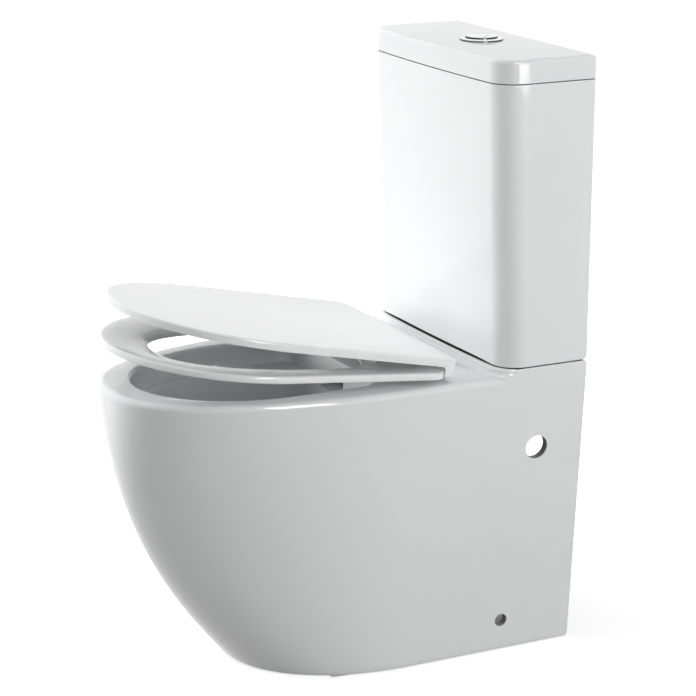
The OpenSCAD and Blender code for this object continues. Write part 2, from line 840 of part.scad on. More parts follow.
module flush_float() {
    low = valve_seat_z + seat_gap + 6;
    color(valve_blue) at_valve() translate([0, 0, low + 8]) difference() {
        cylinder(d = cage_d - 2 * cage_t - 8, h = 40);
        translate([0, 0, -eps]) cylinder(d = cage_d - 2 * cage_t - 12, h = 37);
        translate([0, 0, -eps]) cylinder(d = tube_d + 2 * run_gap, h = 60);
    }
}

// ---- Fill valve ----

module fill_valve_stem() {
    flange_z = tank_floor + washer_h;
    groove_z = tank_z - seat_gap - fill_nut_h - groove_w;
    color(valve_white) at_fill() rotate_extrude(convexity = 4) polygon([[6, tank_z - shank_l],
        [shank_d / 2, tank_z - shank_l], [shank_d / 2, groove_z - seat_gap],
        [groove_d / 2, groove_z - seat_gap], [groove_d / 2, groove_z + groove_w - seat_gap],
        [shank_d / 2, groove_z + groove_w - seat_gap],
        [shank_d / 2, flange_z], [fill_flange_d / 2, flange_z],
        [fill_flange_d / 2, flange_z + 3], [stem_d / 2, flange_z + 3], [stem_d / 2, float_z - 4],
        [stem_d / 2 + 4, float_z - 4], [stem_d / 2 + 4, float_z - seat_gap],
        [stem_d / 2, float_z - seat_gap], [stem_d / 2, fill_head_z], [6, fill_head_z]]);
}

module fill_valve_washer() {
    color(rubber) at_fill() translate([0, 0, tank_floor])
        tube(fill_flange_d, shank_d + 2 * run_gap, washer_h);
}

module fill_valve_nut() {
    color(valve_white) at_fill() translate([0, 0, tank_z - fill_nut_h - seat_gap]) difference() {
        cylinder(d = fill_nut_d, h = fill_nut_h, $fn = 6);
        translate([0, 0, -eps]) cylinder(d = shank_d + 2 * run_gap, h = fill_nut_h + 2 * eps);
    }
}

module fill_valve_head() {
    ear_z = fill_head_z + fill_head_h;
    color(valve_blue) at_fill() difference() {
        union() {
            translate([0, 0, fill_head_z]) cylinder(d = fill_head_d, h = fill_head_h - 5);
            translate([0, 0, ear_z - 5]) cylinder(d = fill_head_d - 8, h = 5);
            for (side = [-1, 1]) translate([lever_pivot_x - 4, side * (lever_w / 2 + 2.5) - 2, ear_z - 1])
                cube([8, 4, 9]);
        }
        translate([lever_pivot_x, -fill_head_d, ear_z + 4]) rotate([-90, 0, 0])
            cylinder(d = 3, h = 2 * fill_head_d);
    }
}

// Cup float round the stem, with the link rod that works the lever
module fill_valve_float() {
    link_x = lever_pivot_x + lever_reach;
    link_top = fill_head_z + fill_head_h + 4 + lever_t / 2 + 6;
    lever_mid = fill_head_z + fill_head_h + 4;
    color(valve_white) at_fill() {
        difference() {
            translate([0, 0, float_z]) cylinder(d = float_d, h = float_h);
            translate([0, 0, float_z - eps]) cylinder(d = stem_d + 1.2, h = float_h + 2 * eps);
            translate([0, 0, float_z - eps]) difference() {
                cylinder(d = float_d - 5, h = float_h - 3);
                translate([0, 0, -eps]) cylinder(d = stem_d + 6, h = float_h);
            }
        }
        translate([link_x, 0, float_z + float_h - 2])
            cylinder(d = link_d, h = link_top - float_z - float_h + 2);
        for (z = [lever_mid - lever_t / 2 - 2.9, lever_mid + lever_t / 2 + 0.9])
            translate([link_x, 0, z]) cylinder(d = 6.6, h = 2);
    }
}

module fill_valve_lever() {
    mid = fill_head_z + fill_head_h + 4;
    color(valve_blue) at_fill() {
        difference() {
            translate([lever_pivot_x - 4, -lever_w / 2, mid - lever_t / 2])
                cube([lever_reach + 12, lever_w, lever_t]);
            translate([lever_pivot_x + lever_reach - 4.5, -2.4, mid - lever_t])
                cube([9, 4.8, 2 * lever_t]);
        }
        translate([lever_pivot_x, -lever_w / 2 - 4.3, mid]) rotate([-90, 0, 0])
            cylinder(d = 3 - 2 * run_gap, h = lever_w + 8.6);
    }
}

// ---- Seat ----

seat_steps = 48;
// Cross-section of the ring: share of the way from the outer to the inner outline, and height
seat_section = [[0.02, seat_low], [0, seat_low + 1.6], [0, seat_top - 2.6], [0.015, seat_top - 0.8],
    [0.045, seat_top], [0.35, seat_top - 1.3], [0.62, seat_top - 4], [0.85, seat_top - 7.2],
    [0.965, seat_top - 9.6], [1, seat_low - 1.8], [0.985, seat_low - seat_lip],
    [0.84, seat_low - seat_lip], [0.74, seat_low]];

function seat_outer(a) =
    egg_point(a, seat_half, seat_rear, seat_reach - seat_nose, seat_reach, 1.97, 12);
function seat_inner(a) = egg_point(a, seat_hole_half, seat_hole_rear,
    seat_hole_front - seat_hole_nose + 60, seat_hole_front, 2.6, 3);

module seat_body() {
    outer = [for (i = [0:seat_steps - 1]) seat_outer(360 * i / seat_steps)];
    inner = [for (i = [0:seat_steps - 1]) seat_inner(360 * i / seat_steps)];
    n = len(seat_section);
    polyhedron(points = [for (i = [0:seat_steps - 1]) for (s = seat_section)
            [mix(outer[i][0], inner[i][0], s[0]), mix(outer[i][1], inner[i][1], s[0]), s[1]]],
        faces = [for (i = [0:seat_steps - 1]) for (k = [0:n - 1]) for (half = [0, 1])
            let (i2 = (i + 1) % seat_steps, k2 = (k + 1) % n)
            half == 0 ? [i * n + k, i * n + k2, i2 * n + k2] : [i * n + k, i2 * n + k2, i2 * n + k]],
        convexity = 6);
}

// Barrel along X from one end to the other, on the hinge line
module barrel(from, to, r) {
    translate([from, 0, 0]) rotate([0, 90, 0]) cylinder(r = r, h = to - from);
}

ring_barrel_out = hinge_x - post_w / 2 - barrel_gap;
cover_barrel_in = hinge_x + post_w / 2 + barrel_gap;
pin_in = hinge_x - pin_reach;
pin_out = hinge_x + pin_reach;

module seat_ring() {
    color(seat_white) at_hinge(seat_angle) difference() {
        union() {
            seat_body();
            both_sides() {
                barrel(ring_barrel_in, ring_barrel_out, barrel_r);
                translate([ring_barrel_in + 2, -seat_rear - 6, -barrel_r])
                    cube([ring_barrel_out - ring_barrel_in - 6, seat_rear + 6,
                        barrel_r + seat_top - 0.3]);
            }
        }
        both_sides() barrel(pin_in - 0.3, ring_barrel_out + eps, pin_r + run_gap);
        barrel(pin_in - damper_l - 1, pin_in, damper_r + run_gap);
    }
}

module seat_buffers() {
    color(rubber) at_hinge(seat_angle) both_sides() for (turn = buffer_turns)
        let (o = seat_outer(turn), i = seat_inner(turn))
            translate([mix(o[0], i[0], buffer_share), mix(o[1], i[1], buffer_share), seat_low - buffer_h])
                cylinder(r = buffer_r, h = buffer_h);
}

function cover_outline(inset) = egg(cover_half - inset, cover_rear + inset, cover_reach - cover_nose,
    cover_reach - inset, 2.2, 26, 44);

module seat_cover() {
    color(seat_white) at_hinge(cover_angle) {
        difference() {
            loft([for (e = [[skirt_low, 1.2], [skirt_low + 1.2, 0], [cover_top - 3, 0],
                [cover_top - 1.1, 0.9], [cover_top - 0.2, 2.8], [cover_top, 6],
                [cover_top + cover_crown, 60]]) [e[0], cover_outline(e[1])]]);
            loft([for (e = [[skirt_low - eps, cover_t], [cover_top - cover_t, cover_t]])
                [e[0], cover_outline(e[1])]]);
            translate([-cover_w, -skirt_front - skirt_round - 2 * cover_reach, skirt_low - eps])
                cube([2 * cover_w, 2 * cover_reach, cover_low - skirt_low + eps]);
            translate([-cover_w, -skirt_front - skirt_round - eps, skirt_low - eps])
                cube([2 * cover_w, skirt_round + eps, cover_low - skirt_low + eps - skirt_round]);
            translate([-cover_w, -skirt_front - skirt_round, cover_low - skirt_round]) rotate([0, 90, 0])
                cylinder(r = skirt_round, h = 2 * cover_w);
            both_sides() translate([hinge_x - notch_half, 0, skirt_low - eps])
                cube([2 * notch_half, 20, cover_top - cover_t - skirt_low + eps]);
        }
        difference() {
            both_sides() {
                barrel(cover_barrel_in, cover_barrel_out, barrel_r);
                translate([cover_barrel_in + 4, -6, 0])
                    cube([cover_barrel_out - cover_barrel_in - 6, 12, cover_top - cover_t + 1]);
            }
            both_sides() barrel(cover_barrel_in - eps, pin_out + 0.3, pin_r + run_gap);
            mirror([1, 0, 0]) barrel(pin_out, pin_out + damper_l + 1, damper_r + run_gap);
        }
    }
}

// Pegs under the cover that meet the top of the ring
module cover_buffers() {
    low = seat_top - 0.7;
    color(rubber) at_hinge(cover_angle) both_sides()
        for (p = [[cover_half - peg_side_in, peg_side_y], [peg_front_x, cover_reach - peg_front_in]])
            translate([p[0], -p[1], low]) cylinder(r = peg_r, h = cover_top - cover_t - low);
}

// ---- Hinge ----

module at_posts() {
    both_sides() at_wall() translate([hinge_x, hinge_y, 0]) children();
}

module hinge_posts() {
    low = deck_z + seat_gap + base_h;
    color(chrome) at_posts() difference() {
        union() {
            translate([0, 0, low]) cylinder(r = post_r, h = hinge_z - low);
            translate([-post_w / 2, 0, hinge_z]) rotate([0, 90, 0]) cylinder(r = barrel_r, h = post_w);
        }
        translate([-post_w, 0, hinge_z]) rotate([0, 90, 0]) cylinder(r = pin_r + run_gap, h = 2 * post_w);
    }
}

module hinge_bases() {
    color(chrome) at_posts() translate([0, 0, deck_z + seat_gap]) difference() {
        cylinder(r = base_r, h = base_h);
        translate([0, 0, -eps]) cylinder(d = screw_d + 2 * run_gap, h = base_h + 2 * eps);
    }
}

module hinge_pins() {
    color(steel) both_sides() at_wall() translate([0, hinge_y, hinge_z]) barrel(pin_in, pin_out, pin_r);
}

module hinge_screws() {
    low = deck_z - bush_l - bush_nut_h;
    color(steel) at_posts() translate([0, 0, low]) cylinder(d = screw_d, h = deck_z + base_h - low);
}

module expanding_bushes() {
    color(rubber) at_posts() translate([0, 0, deck_z - bush_l])
        tube(bush_d, screw_d + 2 * run_gap, bush_l);
}

module bush_nuts() {
    color(brass) at_posts() translate([0, 0, deck_z - bush_l - bush_nut_h])
        tube(bush_nut_d, screw_d + 2 * run_gap, bush_nut_h);
}

module seat_damper() {
    color(valve_white) at_hinge(seat_angle)
        barrel(pin_in - damper_l - seat_gap, pin_in - seat_gap, damper_r);
}

module cover_damper() {
    color(valve_white) at_hinge(cover_angle) mirror([1, 0, 0])
        barrel(pin_out + seat_gap, pin_out + damper_l + seat_gap, damper_r);
}

pan();
cistern();
cistern_lid();
cistern_pads();
coupling_gasket();
tank_bolts();
bolt_seals();
bolt_washers();
wing_nuts();
button_bezel();
button_nut();
full_flush_button();
half_flush_button();
full_flush_rod();
half_flush_rod();
full_button_spring();
half_button_spring();
flush_valve_base();
flush_valve_washer();
flush_valve_nut();
flush_valve_cage();
flush_valve_head();
full_flush_plunger();
half_flush_plunger();
overflow_tube();
flush_seal();
flush_float();
fill_valve_stem();
fill_valve_washer();
fill_valve_nut();
fill_valve_head();
fill_valve_float();
fill_valve_lever();
seat_ring();
seat_buffers();
seat_cover();
cover_buffers();
hinge_posts();
hinge_bases();
hinge_pins();
hinge_screws();
expanding_bushes();
bush_nuts();
seat_damper();
cover_damper();
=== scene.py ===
import json
from math import copysign, cos, pi, radians, sin

import bmesh
import bpy
from mathutils import Matrix, Vector


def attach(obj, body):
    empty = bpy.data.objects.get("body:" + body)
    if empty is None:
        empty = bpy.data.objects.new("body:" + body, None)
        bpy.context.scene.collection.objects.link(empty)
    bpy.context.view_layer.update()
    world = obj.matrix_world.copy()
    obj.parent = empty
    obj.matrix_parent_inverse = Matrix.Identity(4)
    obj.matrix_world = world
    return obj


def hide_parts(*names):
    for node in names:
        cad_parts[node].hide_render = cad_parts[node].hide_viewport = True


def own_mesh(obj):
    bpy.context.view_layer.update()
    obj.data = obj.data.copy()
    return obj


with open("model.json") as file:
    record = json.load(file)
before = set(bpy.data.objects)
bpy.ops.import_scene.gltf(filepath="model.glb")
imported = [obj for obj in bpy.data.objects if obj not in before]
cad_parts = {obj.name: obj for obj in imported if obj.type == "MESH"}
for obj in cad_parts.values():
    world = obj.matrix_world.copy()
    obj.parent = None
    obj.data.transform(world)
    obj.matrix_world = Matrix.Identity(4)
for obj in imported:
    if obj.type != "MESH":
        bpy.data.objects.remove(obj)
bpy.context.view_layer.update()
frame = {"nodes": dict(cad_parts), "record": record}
mm = 0.001
wallY = 309  # the wall plane in millimetres; outlines below are drawn with the wall at y = 0
scene = bpy.context.scene


# Small helpers for outlines. Every outline is a list of x, y in millimetres, anticlockwise from above.

def mix(first, second, share):
    return first + (second - first) * share


def curved(value, power):
    return copysign(abs(value) ** power, value)


def stretch(start, end, count):  # points after start, up to end
    return [(mix(start[0], end[0], k / count), mix(start[1], end[1], k / count)) for k in range(1, count + 1)]


def corner(centreX, centreY, radius, fromDegrees, steps):
    turns = [radians(fromDegrees + 90 * k / steps) for k in range(steps + 1)]
    return [(centreX + radius * cos(turn), centreY + radius * sin(turn)) for turn in turns]


def nosePath(half, reach, nose, power):  # straight sides and back, with a rounded nose
    foot = nose - reach
    turns = [pi + pi * k / 112 for k in range(113)]
    path = [(half * curved(cos(t), 2 / power), foot + nose * curved(sin(t), 2 / power)) for t in turns]
    return (path + stretch((half, foot), (half, 0), 10) + stretch((half, 0), (-half, 0), 22)
            + stretch((-half, 0), (-half, foot), 10)[:-1])


def eggPath(half, rear, middle, front, frontPower, rearPower, steps=128):  # closed, with a power for each end
    path = []
    for k in range(steps):
        turn = 2 * pi * k / steps
        power, length = (frontPower, front - middle) if sin(turn) < 0 else (rearPower, middle - rear)
        path.append((half * curved(cos(turn), 2 / power), length * curved(sin(turn), 2 / power) - middle))
    return path


# Mesh helpers

def newPiece(name, work):
    mesh = bpy.data.meshes.new(name)
    work.to_mesh(mesh)
    work.free()
    piece = bpy.data.objects.new(name, mesh)
    scene.collection.objects.link(piece)
    return piece


def addRing(work, path, height):
    ring = bmesh.ops.create_circle(work, segments=len(path), radius=1)["verts"]
    for vert, (x, y) in zip(ring, path):
        vert.co = Vector((x, wallY + y, height)) * mm
    return ring, list({edge for vert in ring for edge in vert.link_edges})


def loft(name, levels, closed=False):  # bridges rings, given as (height, outline), and caps the two ends
    work = bmesh.new()
    rings = [addRing(work, path, height) for height, path in levels]
    pairs = list(zip(rings, rings[1:])) + ([(rings[-1], rings[0])] if closed else [])
    for lower, upper in pairs:
        bmesh.ops.bridge_loops(work, edges=lower[1] + upper[1])
    if not closed:
        for ring in (rings[0], rings[-1]):
            bmesh.ops.contextual_create(work, geom=ring[1])
    bmesh.ops.recalc_face_normals(work, faces=work.faces)
    return newPiece(name, work)


def tubeAlong(name, stations, radius, segments=64):
    # stations are (y, z, tilt): the tube runs level at a tilt of 0 and straight up at 90
    work = bmesh.new()
    loops = []
    for y, z, tilt in stations:
        turn = Matrix.Rotation(radians(tilt - 90), 4, "X")
        place = Matrix.Translation(Vector((0, wallY + y, z)) * mm) @ turn
        ring = bmesh.ops.create_circle(work, segments=segments, radius=radius * mm, matrix=place)["verts"]
        loops.append(list({edge for vert in ring for edge in vert.link_edges}))
    for near, far in zip(loops, loops[1:]):
        bmesh.ops.bridge_loops(work, edges=near + far)
    for loop in (loops[0], loops[-1]):
        bmesh.ops.contextual_create(work, geom=loop)
    bmesh.ops.recalc_face_normals(work, faces=work.faces)
    return newPiece(name, work)


def drum(name, radius, start, end, segments=64):  # a round bar between two points in millimetres
    work = bmesh.new()
    a, b = Vector(start) * mm, Vector(end) * mm
    turn = (b - a).to_track_quat("Z", "Y").to_matrix().to_4x4()
    bmesh.ops.create_cone(work, cap_ends=True, segments=segments, radius1=radius * mm, radius2=radius * mm,
                          depth=(b - a).length, matrix=Matrix.Translation((a + b) / 2) @ turn)
    return newPiece(name, work)


def block(name, low, high):
    work = bmesh.new()
    a, b = Vector(low) * mm, Vector(high) * mm
    size = Matrix.Diagonal((*(b - a), 1))
    bmesh.ops.create_cube(work, size=1, matrix=Matrix.Translation((a + b) / 2) @ size)
    return newPiece(name, work)


def spun(name, profile, centre, steps=96):  # turns a profile of (radius, height) round a vertical line
    work = bmesh.new()
    verts = [work.verts.new(Vector((r, 0, z)) * mm) for r, z in profile]
    edges = [work.edges.new(pair) for pair in zip(verts, verts[1:])]
    bmesh.ops.spin(work, geom=verts + edges, cent=(0, 0, 0), axis=(0, 0, 1), angle=2 * pi, steps=steps,
                   use_merge=True)
    bmesh.ops.remove_doubles(work, verts=work.verts, dist=1e-6)
    bmesh.ops.translate(work, verts=work.verts, vec=Vector((centre[0], wallY + centre[1], 0)) * mm)
    bmesh.ops.recalc_face_normals(work, faces=work.faces)
    return newPiece(name, work)


def sweptAcross(name, profile):  # sweeps a profile of (y, height) through the whole width
    half = 300
    work = bmesh.new()
    face = work.faces.new([work.verts.new(Vector((-half, wallY + y, z)) * mm) for y, z in profile])
    swept = bmesh.ops.extrude_face_region(work, geom=[face])["geom"]
    moved = [part for part in swept if isinstance(part, bmesh.types.BMVert)]
    bmesh.ops.translate(work, verts=moved, vec=(2 * half * mm, 0, 0))
    bmesh.ops.recalc_face_normals(work, faces=work.faces)
    return newPiece(name, work)


def settle(piece):  # makes the modifiers part of the mesh
    graph = bpy.context.evaluated_depsgraph_get()
    mesh = bpy.data.meshes.new_from_object(piece.evaluated_get(graph))
    piece.modifiers.clear()
    piece.data = mesh


def combine(body, how, tools):
    for tool in tools:
        cut = body.modifiers.new("cut", "BOOLEAN")
        cut.operation, cut.solver, cut.object = how, "EXACT", tool
    settle(body)
    for tool in tools:
        bpy.data.objects.remove(tool)


def tilt(piece, degrees, hinge):  # turns a piece that was made lying flat up to its angle on the hinge line
    middle = Vector((0, wallY + hinge[0], hinge[1])) * mm
    piece.data.transform(Matrix.Translation(middle) @ Matrix.Rotation(radians(-degrees), 4, "X")
                         @ Matrix.Translation(-middle))


def smooth(piece, degrees=32):
    piece.data.shade_smooth()
    piece.data.set_sharp_from_angle(angle=radians(degrees))


def finishPiece(piece, finish, body, nodes):
    piece.data.materials.clear()
    piece.data.materials.append(finish)
    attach(piece, body)
    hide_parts(*nodes)


# Materials

class Wire:  # a shader value, so that a Python sum on it adds the Math nodes
    def __init__(self, tree, socket):
        self.tree, self.socket = tree, socket

    def put(self, operation, first, second):
        node = self.tree.nodes.new("ShaderNodeMath")
        node.operation = operation
        for slot, value in zip(node.inputs, (first, second)):
            if isinstance(value, Wire):
                self.tree.links.new(value.socket, slot)
            else:
                slot.default_value = value
        return Wire(self.tree, node.outputs[0])

    def __add__(self, other):
        return self.put("ADD", self, other)

    def __sub__(self, other):
        return self.put("SUBTRACT", self, other)

    def __rsub__(self, other):
        return self.put("SUBTRACT", other, self)

    def __mul__(self, other):
        return self.put("MULTIPLY", self, other)

    def __truediv__(self, other):
        return self.put("DIVIDE", self, other)

    def __pow__(self, other):
        return self.put("POWER", self, other)

    def __abs__(self):
        return self.put("ABSOLUTE", self, 0.0)

    def most(self, other):
        return self.put("MAXIMUM", self, other)

    def least(self, other):
        return self.put("MINIMUM", self, other)

    def over(self, limit):  # 1 where the value is over the limit, else 0
        return self.put("GREATER_THAN", self, limit)

    def within(self, low, high):
        return self.over(low) * (high - self).over(0.0)


class Finish:
    def __init__(self, name, **plain):
        self.material = bpy.data.materials.new(name)
        self.material.use_nodes = True
        self.tree = self.material.node_tree
        self.shader = self.tree.nodes["Principled BSDF"]
        for socket, value in plain.items():
            self.shader.inputs[socket.replace("_", " ")].default_value = value
        self.place = self.add("ShaderNodeTexCoord", {}, {}, "Object")

    def add(self, kind, settings, values, out=0):  # values go to the node's sockets, as numbers or links
        node = self.tree.nodes.new(kind)
        for key, value in settings.items():
            setattr(node, key, value)
        for key, value in values.items():
            if isinstance(value, Wire):
                self.tree.links.new(value.socket, node.inputs[key])
            else:
                node.inputs[key].default_value = value
        return Wire(self.tree, node.outputs[out])

    def noise(self, scale, detail=2.0, roughness=0.5, stretch=(1, 1, 1)):
        spot = self.add("ShaderNodeMapping", {}, {"Vector": self.place, "Scale": stretch})
        return self.add("ShaderNodeTexNoise", {}, {"Vector": spot, "Scale": scale, "Detail": detail,
                                                   "Roughness": roughness}, "Fac")

    def blend(self, share, dark, light):
        node = self.tree.nodes.new("ShaderNodeMix")
        node.data_type = "RGBA"
        self.tree.links.new(share.socket, node.inputs["Factor"])
        for slot, end in zip((6, 7), (dark, light)):
            if isinstance(end, Wire):
                self.tree.links.new(end.socket, node.inputs[slot])
            else:
                node.inputs[slot].default_value = (*end, 1)
        return Wire(self.tree, node.outputs[2])

    def axes(self):
        return [self.add("ShaderNodeSeparateXYZ", {}, {"Vector": self.place}, k) for k in range(3)]

    def bump(self, height, strength, distance):
        return self.add("ShaderNodeBump", {}, {"Height": height, "Strength": strength, "Distance": distance})

    def feed(self, **links):
        for socket, wire in links.items():
            self.tree.links.new(wire.socket, self.shader.inputs[socket.replace("_", " ")])
        return self.material


def makeChina():
    # the raw colour is unglazed china made darker as painted shade; the gap colour is painted shade, near
    # black
    look = {"dark": (0.80, 0.806, 0.812), "light": (0.835, 0.84, 0.845), "ripple": 22,
            "rippleHeight": 0.00006, "rawAndShade": (0.30, 0.295, 0.285), "gap": (0.05, 0.05, 0.05),
            "jointShade": 0.86}
    # where the unglazed parts and the painted shade lie, in metres; the last three are (how far out, lowest,
    # highest)
    zone = {"skirtLean": 0.0717, "skirtHalf": 0.1507, "skirtFront": 0.13, "skirtTop": 0.392,
            "cornerX": 0.1485, "footCornerY": 0.214, "topCornerY": 0.201, "bow": 0.004, "gapBack": 0.303,
            "bed": (0.0338, 0.4086, 0.4156), "trough": (0.0290, 0.4012, 0.4087),
            "joint": (0.0344, 0.7868, 0.7902)}
    china = Finish("glazedChina", Specular_IOR_Level=0.5, Coat_Weight=0.0)
    cloud = china.noise(9, 3)
    ripple = china.noise(look["ripple"], 2, 0.4)
    x, y, z = china.axes()
    wide = abs(x)

    def outFrom(cornerY):  # how far out a point lies from the middles of the cistern's front corners
        sideways = (wide - zone["cornerX"]).most(0.0)
        bow = (1 - (x / zone["cornerX"]) ** 2).most(0.0) * zone["bow"]
        forward = (cornerY - y - bow).most(0.0)
        return (sideways ** 2 + forward ** 2) ** 0.5

    def band(out, reach, low, high):
        return (reach - out).over(0.0) * z.within(low, high)

    # unglazed and rough, and darkened with painted shade: inside the skirt, the groove and the bed under the
    # cistern, the edges that the lid stands on
    # inside the skirt the raw colour is a darker grey than unglazed china: painted shade of the closed hollow
    skirt = ((z * zone["skirtLean"] + zone["skirtHalf"] - wide).over(0.0) * y.over(zone["skirtFront"])
             * (zone["skirtTop"] - z).over(0.0))
    footOut = outFrom(zone["footCornerY"])
    # painted shadow: the bed and the groove under the cistern's front and sides take the near black gap
    # colour, so the gap there reads as a black line
    under = band(footOut, *zone["bed"]) + band(footOut, *zone["trough"])
    # painted shade: the edges where the lid meets the cistern take the gap colour, so the joint reads as a
    # dark line
    joint = band(outFrom(zone["topCornerY"]), *zone["joint"])
    gap = under * (zone["gapBack"] - y).over(0.0) + joint * look["jointShade"]
    rawAndShade = skirt.most(gap)
    glazed = china.blend(cloud, look["dark"], look["light"])
    grit = china.noise(900, 3)
    return china.feed(Base_Color=china.blend(gap, china.blend(skirt, glazed, look["rawAndShade"]), look["gap"]),
                      Roughness=china.noise(55, 3) * 0.05 + 0.045 + rawAndShade * (grit * 0.2 + 0.55),
                      Normal=china.bump(ripple + rawAndShade * grit * 0.6, 0.5, look["rippleHeight"]))


def makeSeatPlastic():
    plastic = Finish("seatPlastic", Specular_IOR_Level=0.5)
    cloud = plastic.noise(14, 2)
    return plastic.feed(Base_Color=plastic.blend(cloud, (0.83, 0.834, 0.838), (0.86, 0.864, 0.868)),
                        Roughness=plastic.noise(80, 3) * 0.06 + 0.09,
                        Normal=plastic.bump(plastic.noise(30, 2), 0.4, 0.00003))


def makeChrome():
    # the steep sides, given a near black colour as a painted dark reflection and shade, where they mirror the
    # dark side of the studio: (inner, outer, lowest, highest) in metres
    look = {"steep": (0.05, 0.05, 0.052), "buttonY": 0.241, "keySides": (0.0211, 0.0224, 0.806, 0.8249),
            "bezelSide": (0.0289, 0.03, 0.8199, 0.8216)}
    chrome = Finish("polishedChrome", Metallic=1.0)
    x, y, z = chrome.axes()
    away = (x ** 2 + (y - look["buttonY"]) ** 2) ** 0.5

    def wall(inner, outer, low, high):
        return away.within(inner, outer) * z.within(low, high)

    # painted shade and dark reflection on the keys' sides and the bezel's outer side
    steep = wall(*look["keySides"]) + wall(*look["bezelSide"])
    bright = chrome.blend(chrome.noise(40, 2), (0.84, 0.845, 0.855), (0.88, 0.885, 0.895))
    return chrome.feed(Base_Color=chrome.blend(steep, bright, look["steep"]),
                       Roughness=chrome.noise(160, 4) * 0.07 + 0.05,
                       Normal=chrome.bump(chrome.noise(90, 2), 0.3, 0.00002))


def makeSteel():
    steel = Finish("satinSteel", Metallic=1.0)
    grain = steel.noise(900, 3, 0.6, (1, 1, 0.06))
    return steel.feed(Base_Color=steel.blend(grain, (0.46, 0.47, 0.49), (0.62, 0.63, 0.65)),
                      Roughness=grain * 0.2 + 0.24, Normal=steel.bump(grain, 0.4, 0.00003))


def makeBrass():
    brass = Finish("turnedBrass", Metallic=1.0)
    grain = brass.noise(700, 3, 0.6, (1, 1, 0.08))
    return brass.feed(Base_Color=brass.blend(brass.noise(60, 4), (0.56, 0.38, 0.14), (0.74, 0.56, 0.27)),
                      Roughness=grain * 0.22 + 0.26, Normal=brass.bump(grain, 0.4, 0.00003))


def makeRubber(name, dark, light):
    rubber = Finish(name, Specular_IOR_Level=0.35)
    grain = rubber.noise(1400, 4, 0.65)
    return rubber.feed(Base_Color=rubber.blend(rubber.noise(120, 4), dark, light),
                       Roughness=grain * 0.2 + 0.62, Normal=rubber.bump(grain, 0.5, 0.00008))


def makeMoulded(name, dark, light):
    moulded = Finish(name, Specular_IOR_Level=0.45)
    grain = moulded.noise(1100, 3, 0.6)
    return moulded.feed(Base_Color=moulded.blend(moulded.noise(30, 3), dark, light),
                        Roughness=grain * 0.12 + 0.34, Normal=moulded.bump(grain, 0.35, 0.00005))


finishes = {
    "china": makeChina(),
    "seat_white": makeSeatPlastic(),
    "chrome": makeChrome(),
    "chromed_plastic": makeChrome(),
    "steel": makeSteel(),
    "brass": makeBrass(),
    "rubber": makeRubber("blackRubber", (0.012, 0.012, 0.013), (0.03, 0.03, 0.032)),
    "buffer_grey": makeRubber("greyRubber", (0.5, 0.51, 0.52), (0.6, 0.61, 0.62)),
    "valve_white": makeMoulded("mouldedWhite", (0.70, 0.71, 0.72), (0.78, 0.79, 0.80)),
    "valve_blue": makeMoulded("mouldedBlue", (0.035, 0.13, 0.36), (0.06, 0.18, 0.45)),
}
print("stage: materials made")


# The pan

hinge = {"y": -202, "z": 417.5, "x": 77.5, "post": 23, "barrel": 7.8, "pin": 4.05, "pinIn": 44.5,
         "pinOut": 110.5, "damper": 6.05, "damperBore": 30, "gap": 0.4, "deckHole": 7.05}
pan = {"depth": 618, "half": 180.7, "footHalf": 152, "rim": 400, "undercut": 164.4, "rimEdge": 9,
       "footEdge": 2.5, "noseFoot": 206, "noseRim": 418, "skirtWall": 11, "deck": 14, "platform": 409.4,
       "platformDepth": 136, "platformCorner": 32, "platformEdge": 3.5, "ramp": 15, "rampRise": 5.5,
       "cisternSeat": 412, "rearRound": 6, "troughLow": 402, "coreTop": 393,
       "sideHoles": ((16.5, 70.5, 293.7), (9.3, 109.5, 44.2))}  # each is radius, from the wall, height
bowl = {"half": 130, "front": 577, "widest": 417, "rear": 290, "shelf": 364, "shelfWidth": 13, "wall": 9,
        "sumpY": 345, "sumpZ": 56, "sumpFloor": 36, "edge": 6}
trap = {"bore": 38, "outer": 47, "upY": -300, "overY": -170.1, "rise": 70, "bend": 60, "outletY": -12,
        "outletZ": 182, "spigot": 51, "spigotLength": 70}
inlet = {"y": -68, "recess": 50, "recessLow": 394, "bore": 36, "channelHalf": 30, "channelTop": 380,
         "channelLow": 356, "channelWall": 8, "channelFront": 331}
fixing = {"boltX": 76, "bolt": 6, "fillX": -115, "fillTail": 12, "fillNut": 25, "flushTail": 32}


def skirtPath(height, inset):
    share = height / pan["rim"]
    held = min(share, 1)
    reach = pan["depth"] - pan["undercut"] * (1 - held) ** 2.161
    nose = mix(pan["noseFoot"], pan["noseRim"], held)
    power = 2.147 + 0.38 * held - 2.236 * held * (1 - held)
    return nosePath(mix(pan["footHalf"], pan["half"], share) - inset, reach - inset, nose - inset, power)


def roundOver(top, radius, steps):  # (height, inset) pairs of an outward rounding that ends at top
    turns = [pi / 2 * k / steps for k in range(steps + 1)]
    return [(top - radius + radius * sin(t), radius * (1 - cos(t))) for t in turns]


def skirtForm():
    foot = [(0, pan["footEdge"]), (0.7, 0.75), (pan["footEdge"], 0)]
    side = [(8 + 13.4 * k, 0) for k in range(29)] + [(pan["rim"] - pan["rimEdge"] - 0.8, 0)]
    rim = roundOver(pan["rim"], pan["rimEdge"], 10)
    return loft("skirt", [(z, skirtPath(z, inset)) for z, inset in foot + side + rim])


